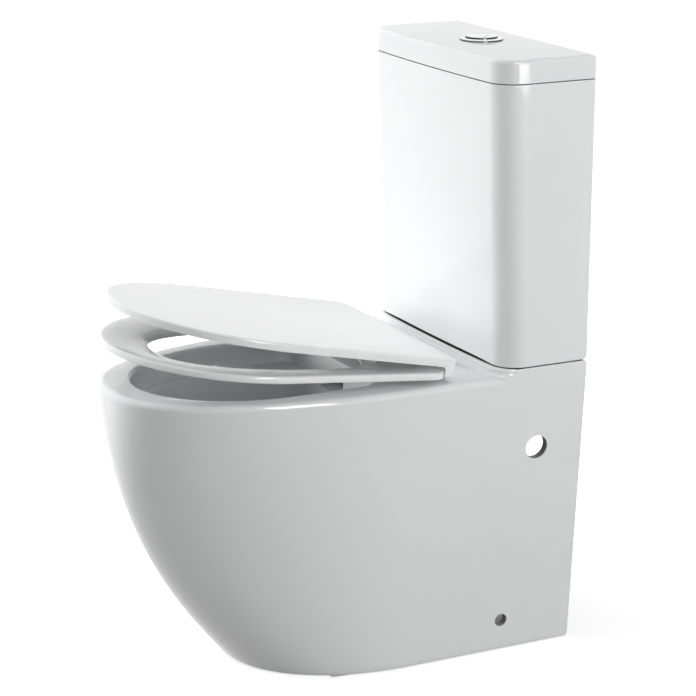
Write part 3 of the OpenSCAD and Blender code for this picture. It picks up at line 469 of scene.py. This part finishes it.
def platformForm():
    def outline(height, frontIn, sideIn):
        half = mix(pan["footHalf"], pan["half"], height / pan["rim"]) - sideIn
        depth = pan["platformDepth"] - frontIn
        radius = pan["platformCorner"] - max(sideIn, 0)
        return (corner(radius - half, radius - depth, radius, 180, 16)
                + stretch((radius - half, -depth), (half - radius, -depth), 12)[:-1]
                + corner(half - radius, radius - depth, radius, 270, 16)
                + stretch((half, radius - depth), (half, 0), 6) + stretch((half, 0), (-half, 0), 12)
                + stretch((-half, 0), (-half, radius - depth), 6)[:-1])
    ramp, rise = pan["ramp"], pan["rampRise"]
    turns = [pi / 2 * k / 8 for k in range(9)]
    levels = [(pan["coreTop"], -ramp, 0)]
    levels += [(pan["rim"] + rise * (1 - cos(t)), -ramp * (1 - sin(t)), 0) for t in turns]
    levels += [(z, inset, inset) for z, inset in roundOver(pan["platform"], pan["platformEdge"], 5)]
    return loft("platform", [(z, outline(z, a, b)) for z, a, b in levels])


def cisternSeat():  # the raised bed that the cistern's pads stand on
    half, depth, radius = 172, 118, 24
    path = (corner(radius - half, radius - depth, radius, 180, 12) + stretch((radius - half, -depth),
            (half - radius, -depth), 8)[:-1] + corner(half - radius, radius - depth, radius, 270, 12)
            + [(half, 0), (-half, 0)])
    return loft("cisternSeat", [(z, path) for z in (pan["rim"], pan["cisternSeat"])])


def shadowTrough():  # a groove under the cistern's front and sides, so that the gap there reads black
    def ring(height, inset):
        rearOut, narrow = 20, 5.5
        return height, tankPath(tank["foot"], inset, -rearOut, narrow)
    low, high, outerIn, innerIn = pan["troughLow"], pan["platform"] + 1.5, 1.2, 10
    outer = loft("trough", [ring(low, outerIn), ring(high, outerIn)])
    combine(outer, "DIFFERENCE", [loft("troughCore", [ring(low - 2, innerIn), ring(high + 2, innerIn)])])
    return outer


def rearCorner(name, edge, out):
    # takes the sharp corner off the rear edge: out is 1 at the top, -1 at the bottom
    radius = pan["rearRound"]
    past = radius * 1.04  # both ends run a little past the faces, so that the cut crosses them cleanly
    clear = 9
    turns = [pi / 2 * k / 8 for k in range(1, 8)]
    profile = [(radius * (cos(t) - 1), edge + out * radius * (sin(t) - 1)) for t in turns]
    profile = [(0.02, edge - out * past)] + profile + [(-past, edge + out * 0.02)]
    profile += [(-past, edge + out * clear), (clear, edge + out * clear), (clear, edge - out * past)]
    return sweptAcross(name, profile)


def skirtHollow():
    under = pan["rim"] - pan["deck"]
    levels = [-5] + [under * k / 14 for k in range(1, 15)]
    rings = []
    for z in levels:
        path = skirtPath(max(z, 0), pan["skirtWall"])
        rings.append((z, [(x, y + 20) if y > -1 else (x, y) for x, y in path]))  # open at the back
    return loft("hollow", rings)


# each step is (how deep, then how wide, how far forward and how far back it is), as shares of the whole
bowlSteps = [(0.17, 0.97, 0.96, 0.98), (0.30, 0.88, 0.84, 0.93), (0.43, 0.76, 0.68, 0.85),
             (0.56, 0.60, 0.49, 0.72), (0.69, 0.42, 0.30, 0.52), (0.81, 0.24, 0.14, 0.30),
             (0.92, 0.09, 0.04, 0.12)]


def bowlRing(height, widthShare, frontShare, rearShare, grow):
    half = mix(trap["bore"], bowl["half"] - bowl["shelfWidth"], widthShare) + grow
    front = mix(bowl["sumpY"] + trap["bore"], bowl["front"] - bowl["shelfWidth"], frontShare) + grow
    rear = mix(bowl["sumpY"] - trap["bore"], bowl["rear"] + 2, rearShare) - grow
    middle = mix(bowl["sumpY"], bowl["widest"], frontShare)
    return height, eggPath(half, rear, middle, front, 2, mix(2, 7, rearShare ** 3))


def rimRing(height, inset, grow):
    return height, eggPath(bowl["half"] - inset + grow, bowl["rear"] + inset / 2 - grow, bowl["widest"],
                           bowl["front"] - inset + grow, 1.96, 12)


def bowlLevels(grow):
    # the sparse steps are filled in with a smooth curve through them
    known = [(0.0, 1.0, 1.0, 1.0)] + bowlSteps + [(1.0, 0.02, 0.01, 0.02)]
    levels = []
    for k in range(len(known) - 1):
        before, here, after, beyond = (known[max(0, min(len(known) - 1, k + d))] for d in (-1, 0, 1, 2))
        for t in (0, 0.25, 0.5, 0.75):
            levels.append([0.5 * (2 * here[c] + (after[c] - before[c]) * t
                                  + (2 * before[c] - 5 * here[c] + 4 * after[c] - beyond[c]) * t * t
                                  + (3 * here[c] - before[c] - 3 * after[c] + beyond[c]) * t ** 3)
                           for c in range(4)])
    rings = [bowlRing(mix(pan["rim"], bowl["sumpZ"], s), w, f, r, grow) for s, w, f, r in reversed(levels)
             if s > 0.14]
    small, middle = bowl["sumpFloor"], bowl["sumpY"]
    floor = eggPath(small + grow, middle - small - grow, middle, middle + small + grow, 2, 2)
    return [(bowl["sumpZ"] - 6, floor)] + rings


def bowlShell():
    low, wall = bowl["shelf"], bowl["wall"]
    shelf = [rimRing(low - 6, 12, wall), rimRing(low, 4, wall), rimRing(low + 8, 0, wall),
             rimRing(pan["coreTop"], 0, wall)]
    return loft("bowlShell", bowlLevels(wall) + shelf)


def bowlHollow():
    steps = ((-8, 13), (-3, 11.5), (-0.8, 8), (0, 4), (1, 1.5), (4, 0))  # height over the shelf, inset
    shelf = [rimRing(bowl["shelf"] + rise, inset, 0) for rise, inset in steps]
    lip = [rimRing(z, -grow, 0) for z, grow in roundOver(pan["rim"], bowl["edge"], 7)]
    return loft("bowlHollow", bowlLevels(0) + shelf + lip + [rimRing(pan["rim"] + 3, -bowl["edge"], 0)])


def ball(name, radius, y, z):
    work = bmesh.new()
    bmesh.ops.create_uvsphere(work, u_segments=64, v_segments=32, radius=radius * mm,
                              matrix=Matrix.Translation(Vector((0, wallY + y, z)) * mm))
    return newPiece(name, work)


def trapTube(name, radius, tail):  # tail is how far the tube runs past the outlet's end
    rise, bend, low, steps = trap["rise"], trap["bend"], bowl["sumpZ"], 14
    stations = [(-bowl["sumpY"], low, 0)]
    for k in range(steps + 1):  # up from the sump
        turn = radians(rise * k / steps)
        stations.append((trap["upY"] + bend * sin(turn), low + bend * (1 - cos(turn)), rise * k / steps))
    for k in range(steps + 1):  # over the weir
        turn = radians(rise * (1 - k / steps))
        stations.append((trap["overY"] - bend * sin(turn), trap["outletZ"] - bend * (1 - cos(turn)),
                         rise * (1 - k / steps)))
    stations.append((trap["outletY"] + tail, trap["outletZ"], 0))
    return tubeAlong(name, stations, radius)


def sideHole(side, radius, fromWall, height):  # square to the skirt's leaning side
    lean = (pan["half"] - pan["footHalf"]) / pan["rim"]
    face = Vector((side * mix(pan["footHalf"], pan["half"], height / pan["rim"]), wallY - fromWall, height))
    out = Vector((side, 0, -lean)).normalized()
    return drum("sideHole", radius, face - out * 22, face + out * 11, 96)


def deckHole(radius, x, y, low=370, segments=64):  # a cutter that opens upwards
    return drum("deckHole", radius, (x, wallY + y, low), (x, wallY + y, 420), segments)


def buildPan():
    solid = skirtForm()
    combine(solid, "UNION", [platformForm(), cisternSeat()])
    combine(solid, "DIFFERENCE", [shadowTrough()])
    combine(solid, "DIFFERENCE", [skirtHollow()])
    low, high = inlet["channelLow"] - inlet["channelWall"], pan["coreTop"]
    side = inlet["channelHalf"] + inlet["channelWall"]
    valveY = wallY + inlet["y"]
    mouthY, mouthZ = wallY + trap["outletY"], trap["outletZ"]
    combine(solid, "UNION", [
        bowlShell(), ball("sump", trap["outer"], -bowl["sumpY"], bowl["sumpZ"]),
        trapTube("trapOut", trap["outer"], -3),
        drum("spigot", trap["spigot"], (0, mouthY - trap["spigotLength"], mouthZ), (0, mouthY, mouthZ), 96),
        block("channelOut", (-side, wallY - inlet["channelFront"], low), (side, valveY, high)),
        drum("inletOut", inlet["bore"] + inlet["channelWall"], (0, valveY, low), (0, valveY, high), 96)])
    cuts = [bowlHollow(), ball("sumpIn", trap["bore"], -bowl["sumpY"], bowl["sumpZ"]),
            trapTube("trapIn", trap["bore"], 2),
            block("channelIn",
                  (-inlet["channelHalf"], wallY - inlet["channelFront"] - 10, inlet["channelLow"]),
                  (inlet["channelHalf"], valveY, inlet["channelTop"])),
            deckHole(inlet["bore"], 0, inlet["y"], inlet["channelLow"], 96),
            deckHole(inlet["recess"], 0, inlet["y"], inlet["recessLow"], 96),
            deckHole(fixing["fillNut"], fixing["fillX"], inlet["y"])]
    cuts += [deckHole(fixing["bolt"], s * fixing["boltX"], inlet["y"]) for s in (-1, 1)]
    cuts += [deckHole(hinge["deckHole"], s * hinge["x"], hinge["y"]) for s in (-1, 1)]
    cuts += [sideHole(side, *hole) for side in (-1, 1) for hole in pan["sideHoles"]]
    cuts += [rearCorner("footCorner", 0, -1), rearCorner("topCorner", pan["platform"], 1)]
    combine(solid, "DIFFERENCE", cuts)
    solid.name = "panCasting"
    smooth(solid)
    finishPiece(solid, finishes["china"], "toilet", ["pan"])


# The cistern and its lid

tank = {"half": 183.5, "foot": 130, "top": 143, "bow": 4, "corner": 35, "low": 415, "high": 788, "wall": 9,
        "floor": 12, "backCorner": 5, "lipLow": 410.8, "lip": 7, "lipRound": 1.6, "rearRound": 6, "arch": 2.2,
        "archTop": 426, "archHalf": 150, "archFrom": 60, "edge": 0.9}
lid = {"low": 789, "high": 820, "edge": 5, "foot": 0.9, "shell": 10, "ribDepth": 12, "ribIn": 11.5,
       "ribWall": 6, "hole": 25.5}


def tankPath(depth, inset, rear=None, narrow=0):  # rear is the back's own inset
    rear = inset if rear is None else rear
    half = tank["half"] - inset - narrow
    deep = depth - inset
    radius = max(tank["corner"] - inset, 4)
    back = max(tank["backCorner"] - inset, 1)
    flat = half - radius
    shares = [k / 12 - 1 for k in range(1, 24)]
    front = [(flat * share, -deep - tank["bow"] * (1 - share ** 2)) for share in shares]
    return (corner(-flat, radius - deep, radius, 180, 20) + front
            + corner(flat, radius - deep, radius, 270, 20)
            + stretch((half, radius - deep), (half, -back - rear), 6)[:-1]
            + corner(half - back, -back - rear, back, 0, 5)
            + stretch((half - back, -rear), (back - half, -rear), 12)[:-1]
            + corner(back - half, -back - rear, back, 90, 5)
            + stretch((-half, -back - rear), (-half, radius - deep), 6)[:-1])


def tankLevel(height, inset, rear=None):
    share = (height - tank["low"]) / (tank["high"] - tank["low"])
    return height, tankPath(mix(tank["foot"], tank["top"], share), inset, rear)


def rounded(rise, radius):  # how far a rounding of that radius stands in at that height over its start
    return radius - (radius ** 2 - (radius - rise) ** 2) ** 0.5 if rise < radius else 0


def buildTank():
    low, high, wall = tank["lipLow"], tank["high"], tank["wall"]
    rises = [0, 0.1, 0.3, 0.7, 1.2, 1.7, 2.2, 3, 4, 5, 6]
    foot = [tankLevel(low + d, rounded(d, tank["lipRound"]), rounded(d, tank["rearRound"])) for d in rises]
    side = [(430 + 35.4 * k, 0) for k in range(11)] + [(high - 1.4, 0)]
    top = roundOver(high, tank["edge"], 3)
    solid = loft("cisternTank", foot + [tankLevel(z, inset) for z, inset in side + top])
    under = loft("under", [tankLevel(z, tank["lip"], -5) for z in (low - 5, tank["low"])])
    floor = tank["low"] + tank["floor"]
    levels = ((floor, 6), (floor + 2, 3), (floor + 8, 0), (600, 0), (high + 2, 0))
    inside = loft("inside", [tankLevel(z, wall + extra) for z, extra in levels])
    holes = [(0, fixing["flushTail"]), (fixing["fillX"], fixing["fillTail"]),
             (fixing["boltX"], fixing["bolt"]), (-fixing["boltX"], fixing["bolt"])]
    valveY = wallY + inlet["y"]
    combine(solid, "DIFFERENCE", [inside, under]
            + [drum("hole", r, (x, valveY, 400), (x, valveY, 440)) for x, r in holes])
    for vert in solid.data.vertices:  # the lower front edge rises a little towards the middle
        x, y, z = (c / mm for c in vert.co)
        if z < tank["archTop"] and wallY - y > tank["archFrom"]:
            share = (tank["archTop"] - z) / (tank["archTop"] - low)
            vert.co.z += tank["arch"] * max(0, 1 - (x / tank["archHalf"]) ** 4) * share * mm
    smooth(solid)
    finishPiece(solid, finishes["china"], "toilet", ["cistern"])


def buildLid():
    def form(name, levels):
        return loft(name, [(z, tankPath(tank["top"], inset)) for z, inset in levels])
    low, high, under = lid["low"], lid["high"], lid["high"] - lid["shell"]
    foot = [(low + d, rounded(d, lid["foot"])) for d in (0, 0.1, 0.3, 0.6, 0.9)]
    flat = [(low + 1.3, 0), (high - lid["edge"] - 0.5, 0)]  # these keep the shading of the sides flat
    solid = form("cisternLid", foot + flat + roundOver(high, lid["edge"], 8))
    ribLow, ribIn = low - lid["ribDepth"], lid["ribIn"]
    combine(solid, "UNION", [form("rib", [(ribLow, ribIn + 2), (ribLow + 2, ribIn), (low + 5, ribIn)])])
    innerEdge = ribIn + lid["ribWall"]
    hollow = form("lidHollow", [(low - 20, innerEdge), (under - 4, innerEdge), (under - 1, innerEdge + 1.2),
                                (under, innerEdge + 4)])
    valveY = wallY + inlet["y"]
    hole = drum("hole", lid["hole"], (0, valveY, low - 9), (0, valveY, high + 10), 96)
    combine(solid, "DIFFERENCE", [hollow, hole])
    smooth(solid)
    finishPiece(solid, finishes["china"], "lid", ["cistern_lid"])


buildPan()
print("stage: pan made")
buildTank()
buildLid()
print("stage: cistern made")


# The flush button

button = {"lidTop": 820, "rise": 3.2, "bezel": 29.5, "keys": 21.5, "keyGap": 0.4, "keyRise": 2.6,
          "keySkirt": 9, "sleeve": 24.9, "sleeveLength": 42, "web": 3, "split": 8, "splitGap": 0.4,
          "turn": 49, "fullRod": -6, "halfRod": 14.5, "travel": 6, "spring": 4.4, "springGap": 0.3,
          "wire": 1.2, "coils": 5}


def rodSpot(along):  # where a push rod stands: the rods' line runs square to the split between the keys
    turn = radians(button["turn"])
    return along * cos(turn), wallY + inlet["y"] + along * sin(turn)


def buildBezel():
    top, low = button["lidTop"] + button["rise"], button["lidTop"] - button["sleeveLength"]
    bore, outer, edge = button["keys"] + button["keyGap"], button["bezel"], button["lidTop"]
    floor = low + button["web"]
    profile = [(0, floor), (bore, floor), (bore, top - 0.5), (bore + 0.15, top - 0.15), (bore + 0.5, top),
               (outer - 4.2, top), (outer - 3.4, top - 0.06), (outer - 2.6, top - 0.3),
               (outer - 0.9, top - 1.2), (outer - 0.3, top - 1.8), (outer, edge + 0.6), (outer, edge + 0.2),
               (outer - 0.2, edge), (button["sleeve"], edge), (button["sleeve"], low), (0, low)]
    bezel = spun("buttonBezel", profile, (0, inlet["y"]), 128)
    spots = [rodSpot(along) for along in (button["fullRod"], button["halfRod"])]
    combine(bezel, "DIFFERENCE",
            [drum("rodHole", 2.8, (*spot, low - 2), (*spot, low + 5), 32) for spot in spots])
    smooth(bezel, 25)
    finishPiece(bezel, finishes["chromed_plastic"], "lid", ["button_bezel"])


def buildKey(name, side, body, node, rodAt):
    low, r = button["lidTop"] - button["keySkirt"], button["keys"]
    top = button["lidTop"] + button["rise"] + button["keyRise"]
    profile = [(0, low), (r, low), (r, top - 1.4), (r - 0.12, top - 1.0), (r - 0.5, top - 0.5),
               (r - 1.0, top - 0.18), (r - 1.8, top), (0, top)]
    disc = spun(name, profile, (0, inlet["y"]), 128)
    turn = radians(button["turn"])
    away = Vector((cos(turn), sin(turn), 0))
    cut = Vector((0, wallY + inlet["y"], 0)) + away * (button["split"] + side * button["splitGap"])
    work = bmesh.new()
    work.from_mesh(disc.data)
    bmesh.ops.bisect_plane(work, geom=work.verts[:] + work.edges[:] + work.faces[:], plane_co=cut * mm,
                           plane_no=away * side, clear_inner=True)
    bmesh.ops.holes_fill(work, edges=[edge for edge in work.edges if edge.is_boundary])
    rim = [edge for edge in work.edges
           if edge.calc_face_angle(0) > 1 and all(vert.co.z > (top - 0.4) * mm for vert in edge.verts)]
    bmesh.ops.bevel(work, geom=rim, offset=0.5 * mm, segments=3, profile=0.5, affect="EDGES", material=-1)
    bmesh.ops.recalc_face_normals(work, faces=work.faces)
    work.to_mesh(disc.data)
    work.free()
    spot = rodSpot(rodAt)
    combine(disc, "DIFFERENCE", [drum("socket", 2.55, (*spot, low - 2), (*spot, low + 6), 32)])
    smooth(disc, 25)
    finishPiece(disc, finishes["chromed_plastic"], body, [node])


def buildSpring(name, node, rodAt):  # the coil spring that stands under its key
    low = button["lidTop"] - button["sleeveLength"] + button["web"] + button["springGap"]
    high = button["lidTop"] - button["keySkirt"] - button["springGap"]
    wire, steps, sides = button["wire"] / 2, 20, 8
    count = button["coils"] * steps
    foot = Vector((*rodSpot(rodAt), low))
    work = bmesh.new()
    rings = []
    for k in range(count + 1):
        turn, rise = 2 * pi * k / steps, wire + (high - low - 2 * wire) * k / count
        ring = []
        for i in range(sides):
            across = 2 * pi * i / sides
            out = button["spring"] + wire * cos(across)
            spot = foot + Vector((out * cos(turn), out * sin(turn), rise + wire * sin(across)))
            ring.append(work.verts.new(spot * mm))
        rings.append(ring)
    for one, other in zip(rings, rings[1:]):
        for i in range(sides):
            work.faces.new((one[i - 1], one[i], other[i], other[i - 1]))
    work.faces.new(rings[0])
    work.faces.new(rings[-1])
    bmesh.ops.recalc_face_normals(work, faces=work.faces)
    spring = newPiece(name, work)
    smooth(spring, 50)
    finishPiece(spring, finishes["steel"], "lid", [node])
    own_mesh(spring)


buildBezel()
buildKey("fullFlushKey", -1, "full_key", "full_flush_button", button["fullRod"])
buildKey("halfFlushKey", 1, "half_key", "half_flush_button", button["halfRod"])
buildSpring("fullButtonSpring", "full_button_spring", button["fullRod"])
buildSpring("halfButtonSpring", "half_button_spring", button["halfRod"])
print("stage: flush button made")


# The seat. Both parts are made lying flat in the hinge's plane and then turned up.

seat = {"half": 178.5, "rear": 10.5, "rearPower": 36, "reach": 414, "nose": 175, "power": 1.97, "low": -11.7,
        "top": -1.9, "lip": 4.3, "holeHalf": 106, "holeRear": 74, "holeWidest": 145, "holeFront": 349,
        "angle": 6.17, "barrelIn": 12}
cover = {"half": 171, "rear": -12, "reach": 411.5, "nose": 185.5, "power": 2.2, "rearPower": 26, "low": 3.2,
         "top": 13.6, "skirtLow": -10, "skirtFront": 8, "skirtEase": 6, "wall": 3.2, "edge": 3,
         "crown": 0.9, "angle": 12.07, "notch": 16.5, "barrelEnd": 143, "webEnd": 141.1}


def hingePath(path):  # from the hinge's own plane to the wall's
    return [(x, y + hinge["y"]) for x, y in path]


def buildSeatRing():
    low, top, lip = seat["low"], seat["top"], seat["low"] - seat["lip"]
    # each is (how far from the outer edge to the hole's, height)
    section = [(0.03, low), (0.012, low + 0.35), (0.002, low + 1.4), (0, low + 2.6), (0, top - 3.2),
               (0.004, top - 2), (0.014, top - 0.95), (0.03, top - 0.3), (0.055, top), (0.2, top - 0.45),
               (0.35, top - 1.3), (0.5, top - 2.5), (0.62, top - 3.9), (0.74, top - 5.5), (0.85, top - 7.3),
               (0.93, top - 8.9), (0.975, top - 10.3), (0.993, low - 1.2), (1, low - 2.4), (0.994, lip + 0.9),
               (0.98, lip + 0.25), (0.96, lip), (0.88, lip), (0.85, lip + 0.4), (0.80, low - 0.8),
               (0.74, low)]
    outer = eggPath(seat["half"], seat["rear"], seat["reach"] - seat["nose"], seat["reach"], seat["power"],
                    seat["rearPower"], 176)
    inner = eggPath(seat["holeHalf"], seat["holeRear"], seat["holeWidest"], seat["holeFront"], 2.6, 3, 176)
    rings = [(hinge["z"] + height, hingePath([(mix(a[0], b[0], share), mix(a[1], b[1], share))
                                              for a, b in zip(outer, inner)])) for share, height in section]
    ring = loft("seatRing", rings, closed=True)
    axleY, axleZ, start = wallY + hinge["y"], hinge["z"], seat["barrelIn"]
    end = hinge["x"] - hinge["post"] / 2 - hinge["gap"]
    parts, bores = [], []
    for s in (-1, 1):
        parts.append(drum("barrel", hinge["barrel"], (s * start, axleY, axleZ), (s * end, axleY, axleZ)))
        left, right = sorted((s * (start + 2), s * (end - 4)))
        parts.append(block("bridge", (left, axleY - 20, axleZ - hinge["barrel"]),
                           (right, axleY, axleZ + top - 0.3)))
        bores.append(drum("bore", hinge["pin"], (s * (hinge["pinIn"] - 0.3), axleY, axleZ),
                          (s * (end + 2), axleY, axleZ)))
    bores.append(drum("damperBore", hinge["damper"], (hinge["pinIn"] - hinge["damperBore"], axleY, axleZ),
                      (hinge["pinIn"], axleY, axleZ)))
    combine(ring, "UNION", parts)
    combine(ring, "DIFFERENCE", bores)
    tilt(ring, seat["angle"], (hinge["y"], hinge["z"]))
    smooth(ring)
    finishPiece(ring, finishes["seat_white"], "seat", ["seat_ring"])


def coverForm(name, levels):  # levels are (height over the hinge line, inset)
    return loft(name, [(hinge["z"] + z, hingePath(eggPath(
        cover["half"] - inset, cover["rear"] + inset, cover["reach"] - cover["nose"], cover["reach"] - inset,
        cover["power"], cover["rearPower"], 176))) for z, inset in levels])


def buildCover():
    low, top, wall = cover["skirtLow"], cover["top"], cover["wall"]
    under = top - wall
    edge = roundOver(top, cover["edge"], 7)
    crown = [(top + cover["crown"] * sin(pi / 2 * k / 6), cover["edge"] + 14 * k) for k in range(1, 7)]
    foot = [(low, 1.2), (low + 0.35, 0.35), (low + 1.2, 0)] + [(z, 0) for z in (-6, -2, 2, 6)]
    solid = coverForm("seatCover", foot + edge + crown)
    combine(solid, "DIFFERENCE", [coverForm("coverInside", [(low - 3, wall), (under - 2, wall),
                                                            (under - 0.6, wall + 0.6), (under, wall + 2)])])
    # everything in front of the rear skirt ends at the band's lower edge
    front, ease, bandLow = cover["skirtFront"], cover["skirtEase"], cover["low"]
    turns = [pi / 2 * k / 8 for k in range(1, 9)]
    side = [(-front, low - 3), (-front, bandLow - ease)]
    side += [(-front - ease + ease * cos(t), bandLow - ease + ease * sin(t)) for t in turns]
    side += [(-600, bandLow), (-600, low - 3)]
    cutter = sweptAcross("frontCut", [(hinge["y"] + y, hinge["z"] + z) for y, z in side])
    axleY, axleZ = wallY + hinge["y"], hinge["z"]
    notches = [block("notch", (s * hinge["x"] - cover["notch"], axleY, axleZ + low - 3),
                     (s * hinge["x"] + cover["notch"], axleY + 20, axleZ + under)) for s in (-1, 1)]
    combine(solid, "DIFFERENCE", [cutter] + notches)
    start, pinOut = hinge["x"] + hinge["post"] / 2 + hinge["gap"], hinge["pinOut"]
    parts, bores = [], []
    for s in (-1, 1):
        parts.append(drum("barrel", hinge["barrel"], (s * start, axleY, axleZ),
                          (s * cover["barrelEnd"], axleY, axleZ)))
        left, right = sorted((s * (start + 4), s * cover["webEnd"]))
        parts.append(block("web", (left, axleY - 6, axleZ), (right, axleY + 6, axleZ + under + 1)))
        bores.append(drum("bore", hinge["pin"], (s * (start - 2), axleY, axleZ),
                          (s * (pinOut + 0.3), axleY, axleZ)))
    bores.append(drum("damperBore", hinge["damper"], (-pinOut, axleY, axleZ),
                      (-pinOut - hinge["damperBore"], axleY, axleZ)))
    combine(solid, "UNION", parts)
    combine(solid, "DIFFERENCE", bores)
    tilt(solid, cover["angle"], (hinge["y"], hinge["z"]))
    smooth(solid)
    finishPiece(solid, finishes["seat_white"], "cover", ["seat_cover"])


buildSeatRing()
buildCover()
print("stage: seat made")


# The nodes that keep their CAD mesh take the finish of their slot
slots = {part["node"]: part["material_slot"] for part in frame["record"]["subparts"]}
for node, thing in frame["nodes"].items():
    thing.data.materials.clear()
    thing.data.materials.append(finishes[slots[node]])
print("stage: nodes dressed")


# Floor, light and camera, in metres

stage = {"floorSize": 14, "floorLow": -0.0005, "floorAlbedo": 0.25, "nearGlow": 0.45, "glowGrowth": 0.14,
         "shine": 0.8, "underHalf": 0.138, "underFront": -0.05, "underBack": 0.3, "world": 0.04,
         "aim": (0, 0, 0.4)}
view = {"azimuth": 63.97, "elevation": 15.98, "place": (2.7462, -1.3492, 1.2807), "lens": 121.7, "sensor": 36,
        "shift": (0.047, 0.0135), "far": 60}
# each lamp is (name, place, size, power)
lamps = (("frontFar", (-3.6, -3.0, 1.6), (2.6, 2.6), 145), ("frontNear", (-2.4, -2.1, 1.5), (1.8, 2.2), 24),
         ("frontRight", (-1.6, -3.6, 1.5), (2.0, 2.2), 40), ("frontHigh", (-2.3, -1.9, 3.0), (2.0, 2.0), 33),
         ("topLeft", (-1.8, 0.3, 3.0), (1.8, 1.4), 22), ("topBack", (0, 1.8, 3.0), (1.8, 1.4), 11),
         ("rightBack", (2.7, 1.5, 1.6), (2.0, 1.6), 47), ("right", (3.2, 0, 1.5), (1.4, 1.6), 16),
         ("rightHigh", (2.4, 0.6, 2.8), (1.4, 1.4), 8.5), ("lowRight", (2.6, -0.43, 0.42), (1.6, 0.1), 5.25))
mirroredLamps = (("windowUpper", (1.632, 0.584, 0.573), (0.78, 0.019), 0.75),
                 ("windowLower", (1.632, 0.584, 0.538), (0.78, 0.021), 0.75),
                 ("rimStreak", (1.76, 0.04, 1.25), (0.55, 1.1), 36))


def buildFloor():
    work = bmesh.new()
    bmesh.ops.create_grid(work, x_segments=1, y_segments=1, size=stage["floorSize"])
    floor = newPiece("floor", work)
    floor.location.z = stage["floorLow"]
    paint = Finish("floorPaint", Roughness=0.9)  # white to the camera, and a plain grey to the object's light
    seen = paint.add("ShaderNodeLightPath", {}, {}, "Is Camera Ray")
    shine = paint.add("ShaderNodeLightPath", {}, {}, "Is Glossy Ray")
    grey = stage["floorAlbedo"]
    away = paint.add("ShaderNodeVectorMath", {"operation": "LENGTH"}, {0: paint.place}, "Value")
    x, y, _ = paint.axes()
    under = (x.within(-stage["underHalf"], stage["underHalf"])
             * y.within(stage["underFront"], stage["underBack"]))  # no glow inside the foot of the pan, so the floor there is left darker as painted shade
    glow = (away * stage["glowGrowth"] + stage["nearGlow"]).least(1.0) * (1 - under)
    paint.feed(Base_Color=paint.blend(seen, (grey, grey, grey), (0.8, 0.8, 0.8)),
               Emission_Color=paint.blend(seen * glow + shine * stage["shine"], (0, 0, 0), (1, 1, 1)))
    paint.shader.inputs["Emission Strength"].default_value = 1.0
    floor.data.materials.append(paint.material)


def buildWorld():  # white where it is seen or mirrored, and a faint light for everything else
    world = bpy.data.worlds.new("studio")
    scene.world = world
    world.use_nodes = True
    tree = world.node_tree
    background = tree.nodes["Background"]
    path = tree.nodes.new("ShaderNodeLightPath")
    kinds = ("Camera", "Glossy", "Transmission")
    seen, shine, through = (Wire(tree, path.outputs[f"Is {kind} Ray"]) for kind in kinds)
    white = (seen + shine + through) * (1 - stage["world"]) + stage["world"]
    tree.links.new(white.socket, background.inputs["Strength"])
    background.inputs["Color"].default_value = (1, 1, 1, 1)


def addLamp(name, place, size, power, mirrored):  # faces the aim; a mirrored lamp shows in gloss only
    lamp = bpy.data.lights.new(name, "AREA")
    lamp.shape, lamp.size, lamp.size_y, lamp.energy = "RECTANGLE", size[0], size[1], power
    thing = bpy.data.objects.new(name, lamp)
    thing.location = place
    thing.rotation_euler = (Vector(stage["aim"]) - Vector(place)).to_track_quat("-Z", "Y").to_euler()
    thing.visible_camera, thing.visible_glossy, thing.visible_diffuse = False, mirrored, not mirrored
    scene.collection.objects.link(thing)


def buildCamera():
    turn, lift = radians(view["azimuth"]), radians(view["elevation"])
    back = Vector((sin(turn) * cos(lift), -cos(turn) * cos(lift), sin(lift)))
    right = Vector((0, 0, 1)).cross(back).normalized()
    facing = Matrix((right, back.cross(right), back)).transposed().to_4x4()
    data = bpy.data.cameras.new("photoCamera")
    data.lens, data.sensor_width, data.clip_end = view["lens"], view["sensor"], view["far"]
    data.shift_x, data.shift_y = view["shift"]
    camera = bpy.data.objects.new("photoCamera", data)
    camera.matrix_world = Matrix.Translation(view["place"]) @ facing
    scene.collection.objects.link(camera)
    scene.camera = camera


buildFloor()
buildWorld()
for lamp in lamps:
    addLamp(*lamp, False)
for lamp in mirroredLamps:
    addLamp(*lamp, True)
buildCamera()
scene.view_settings.view_transform = "Standard"

print("stage: scene ready")
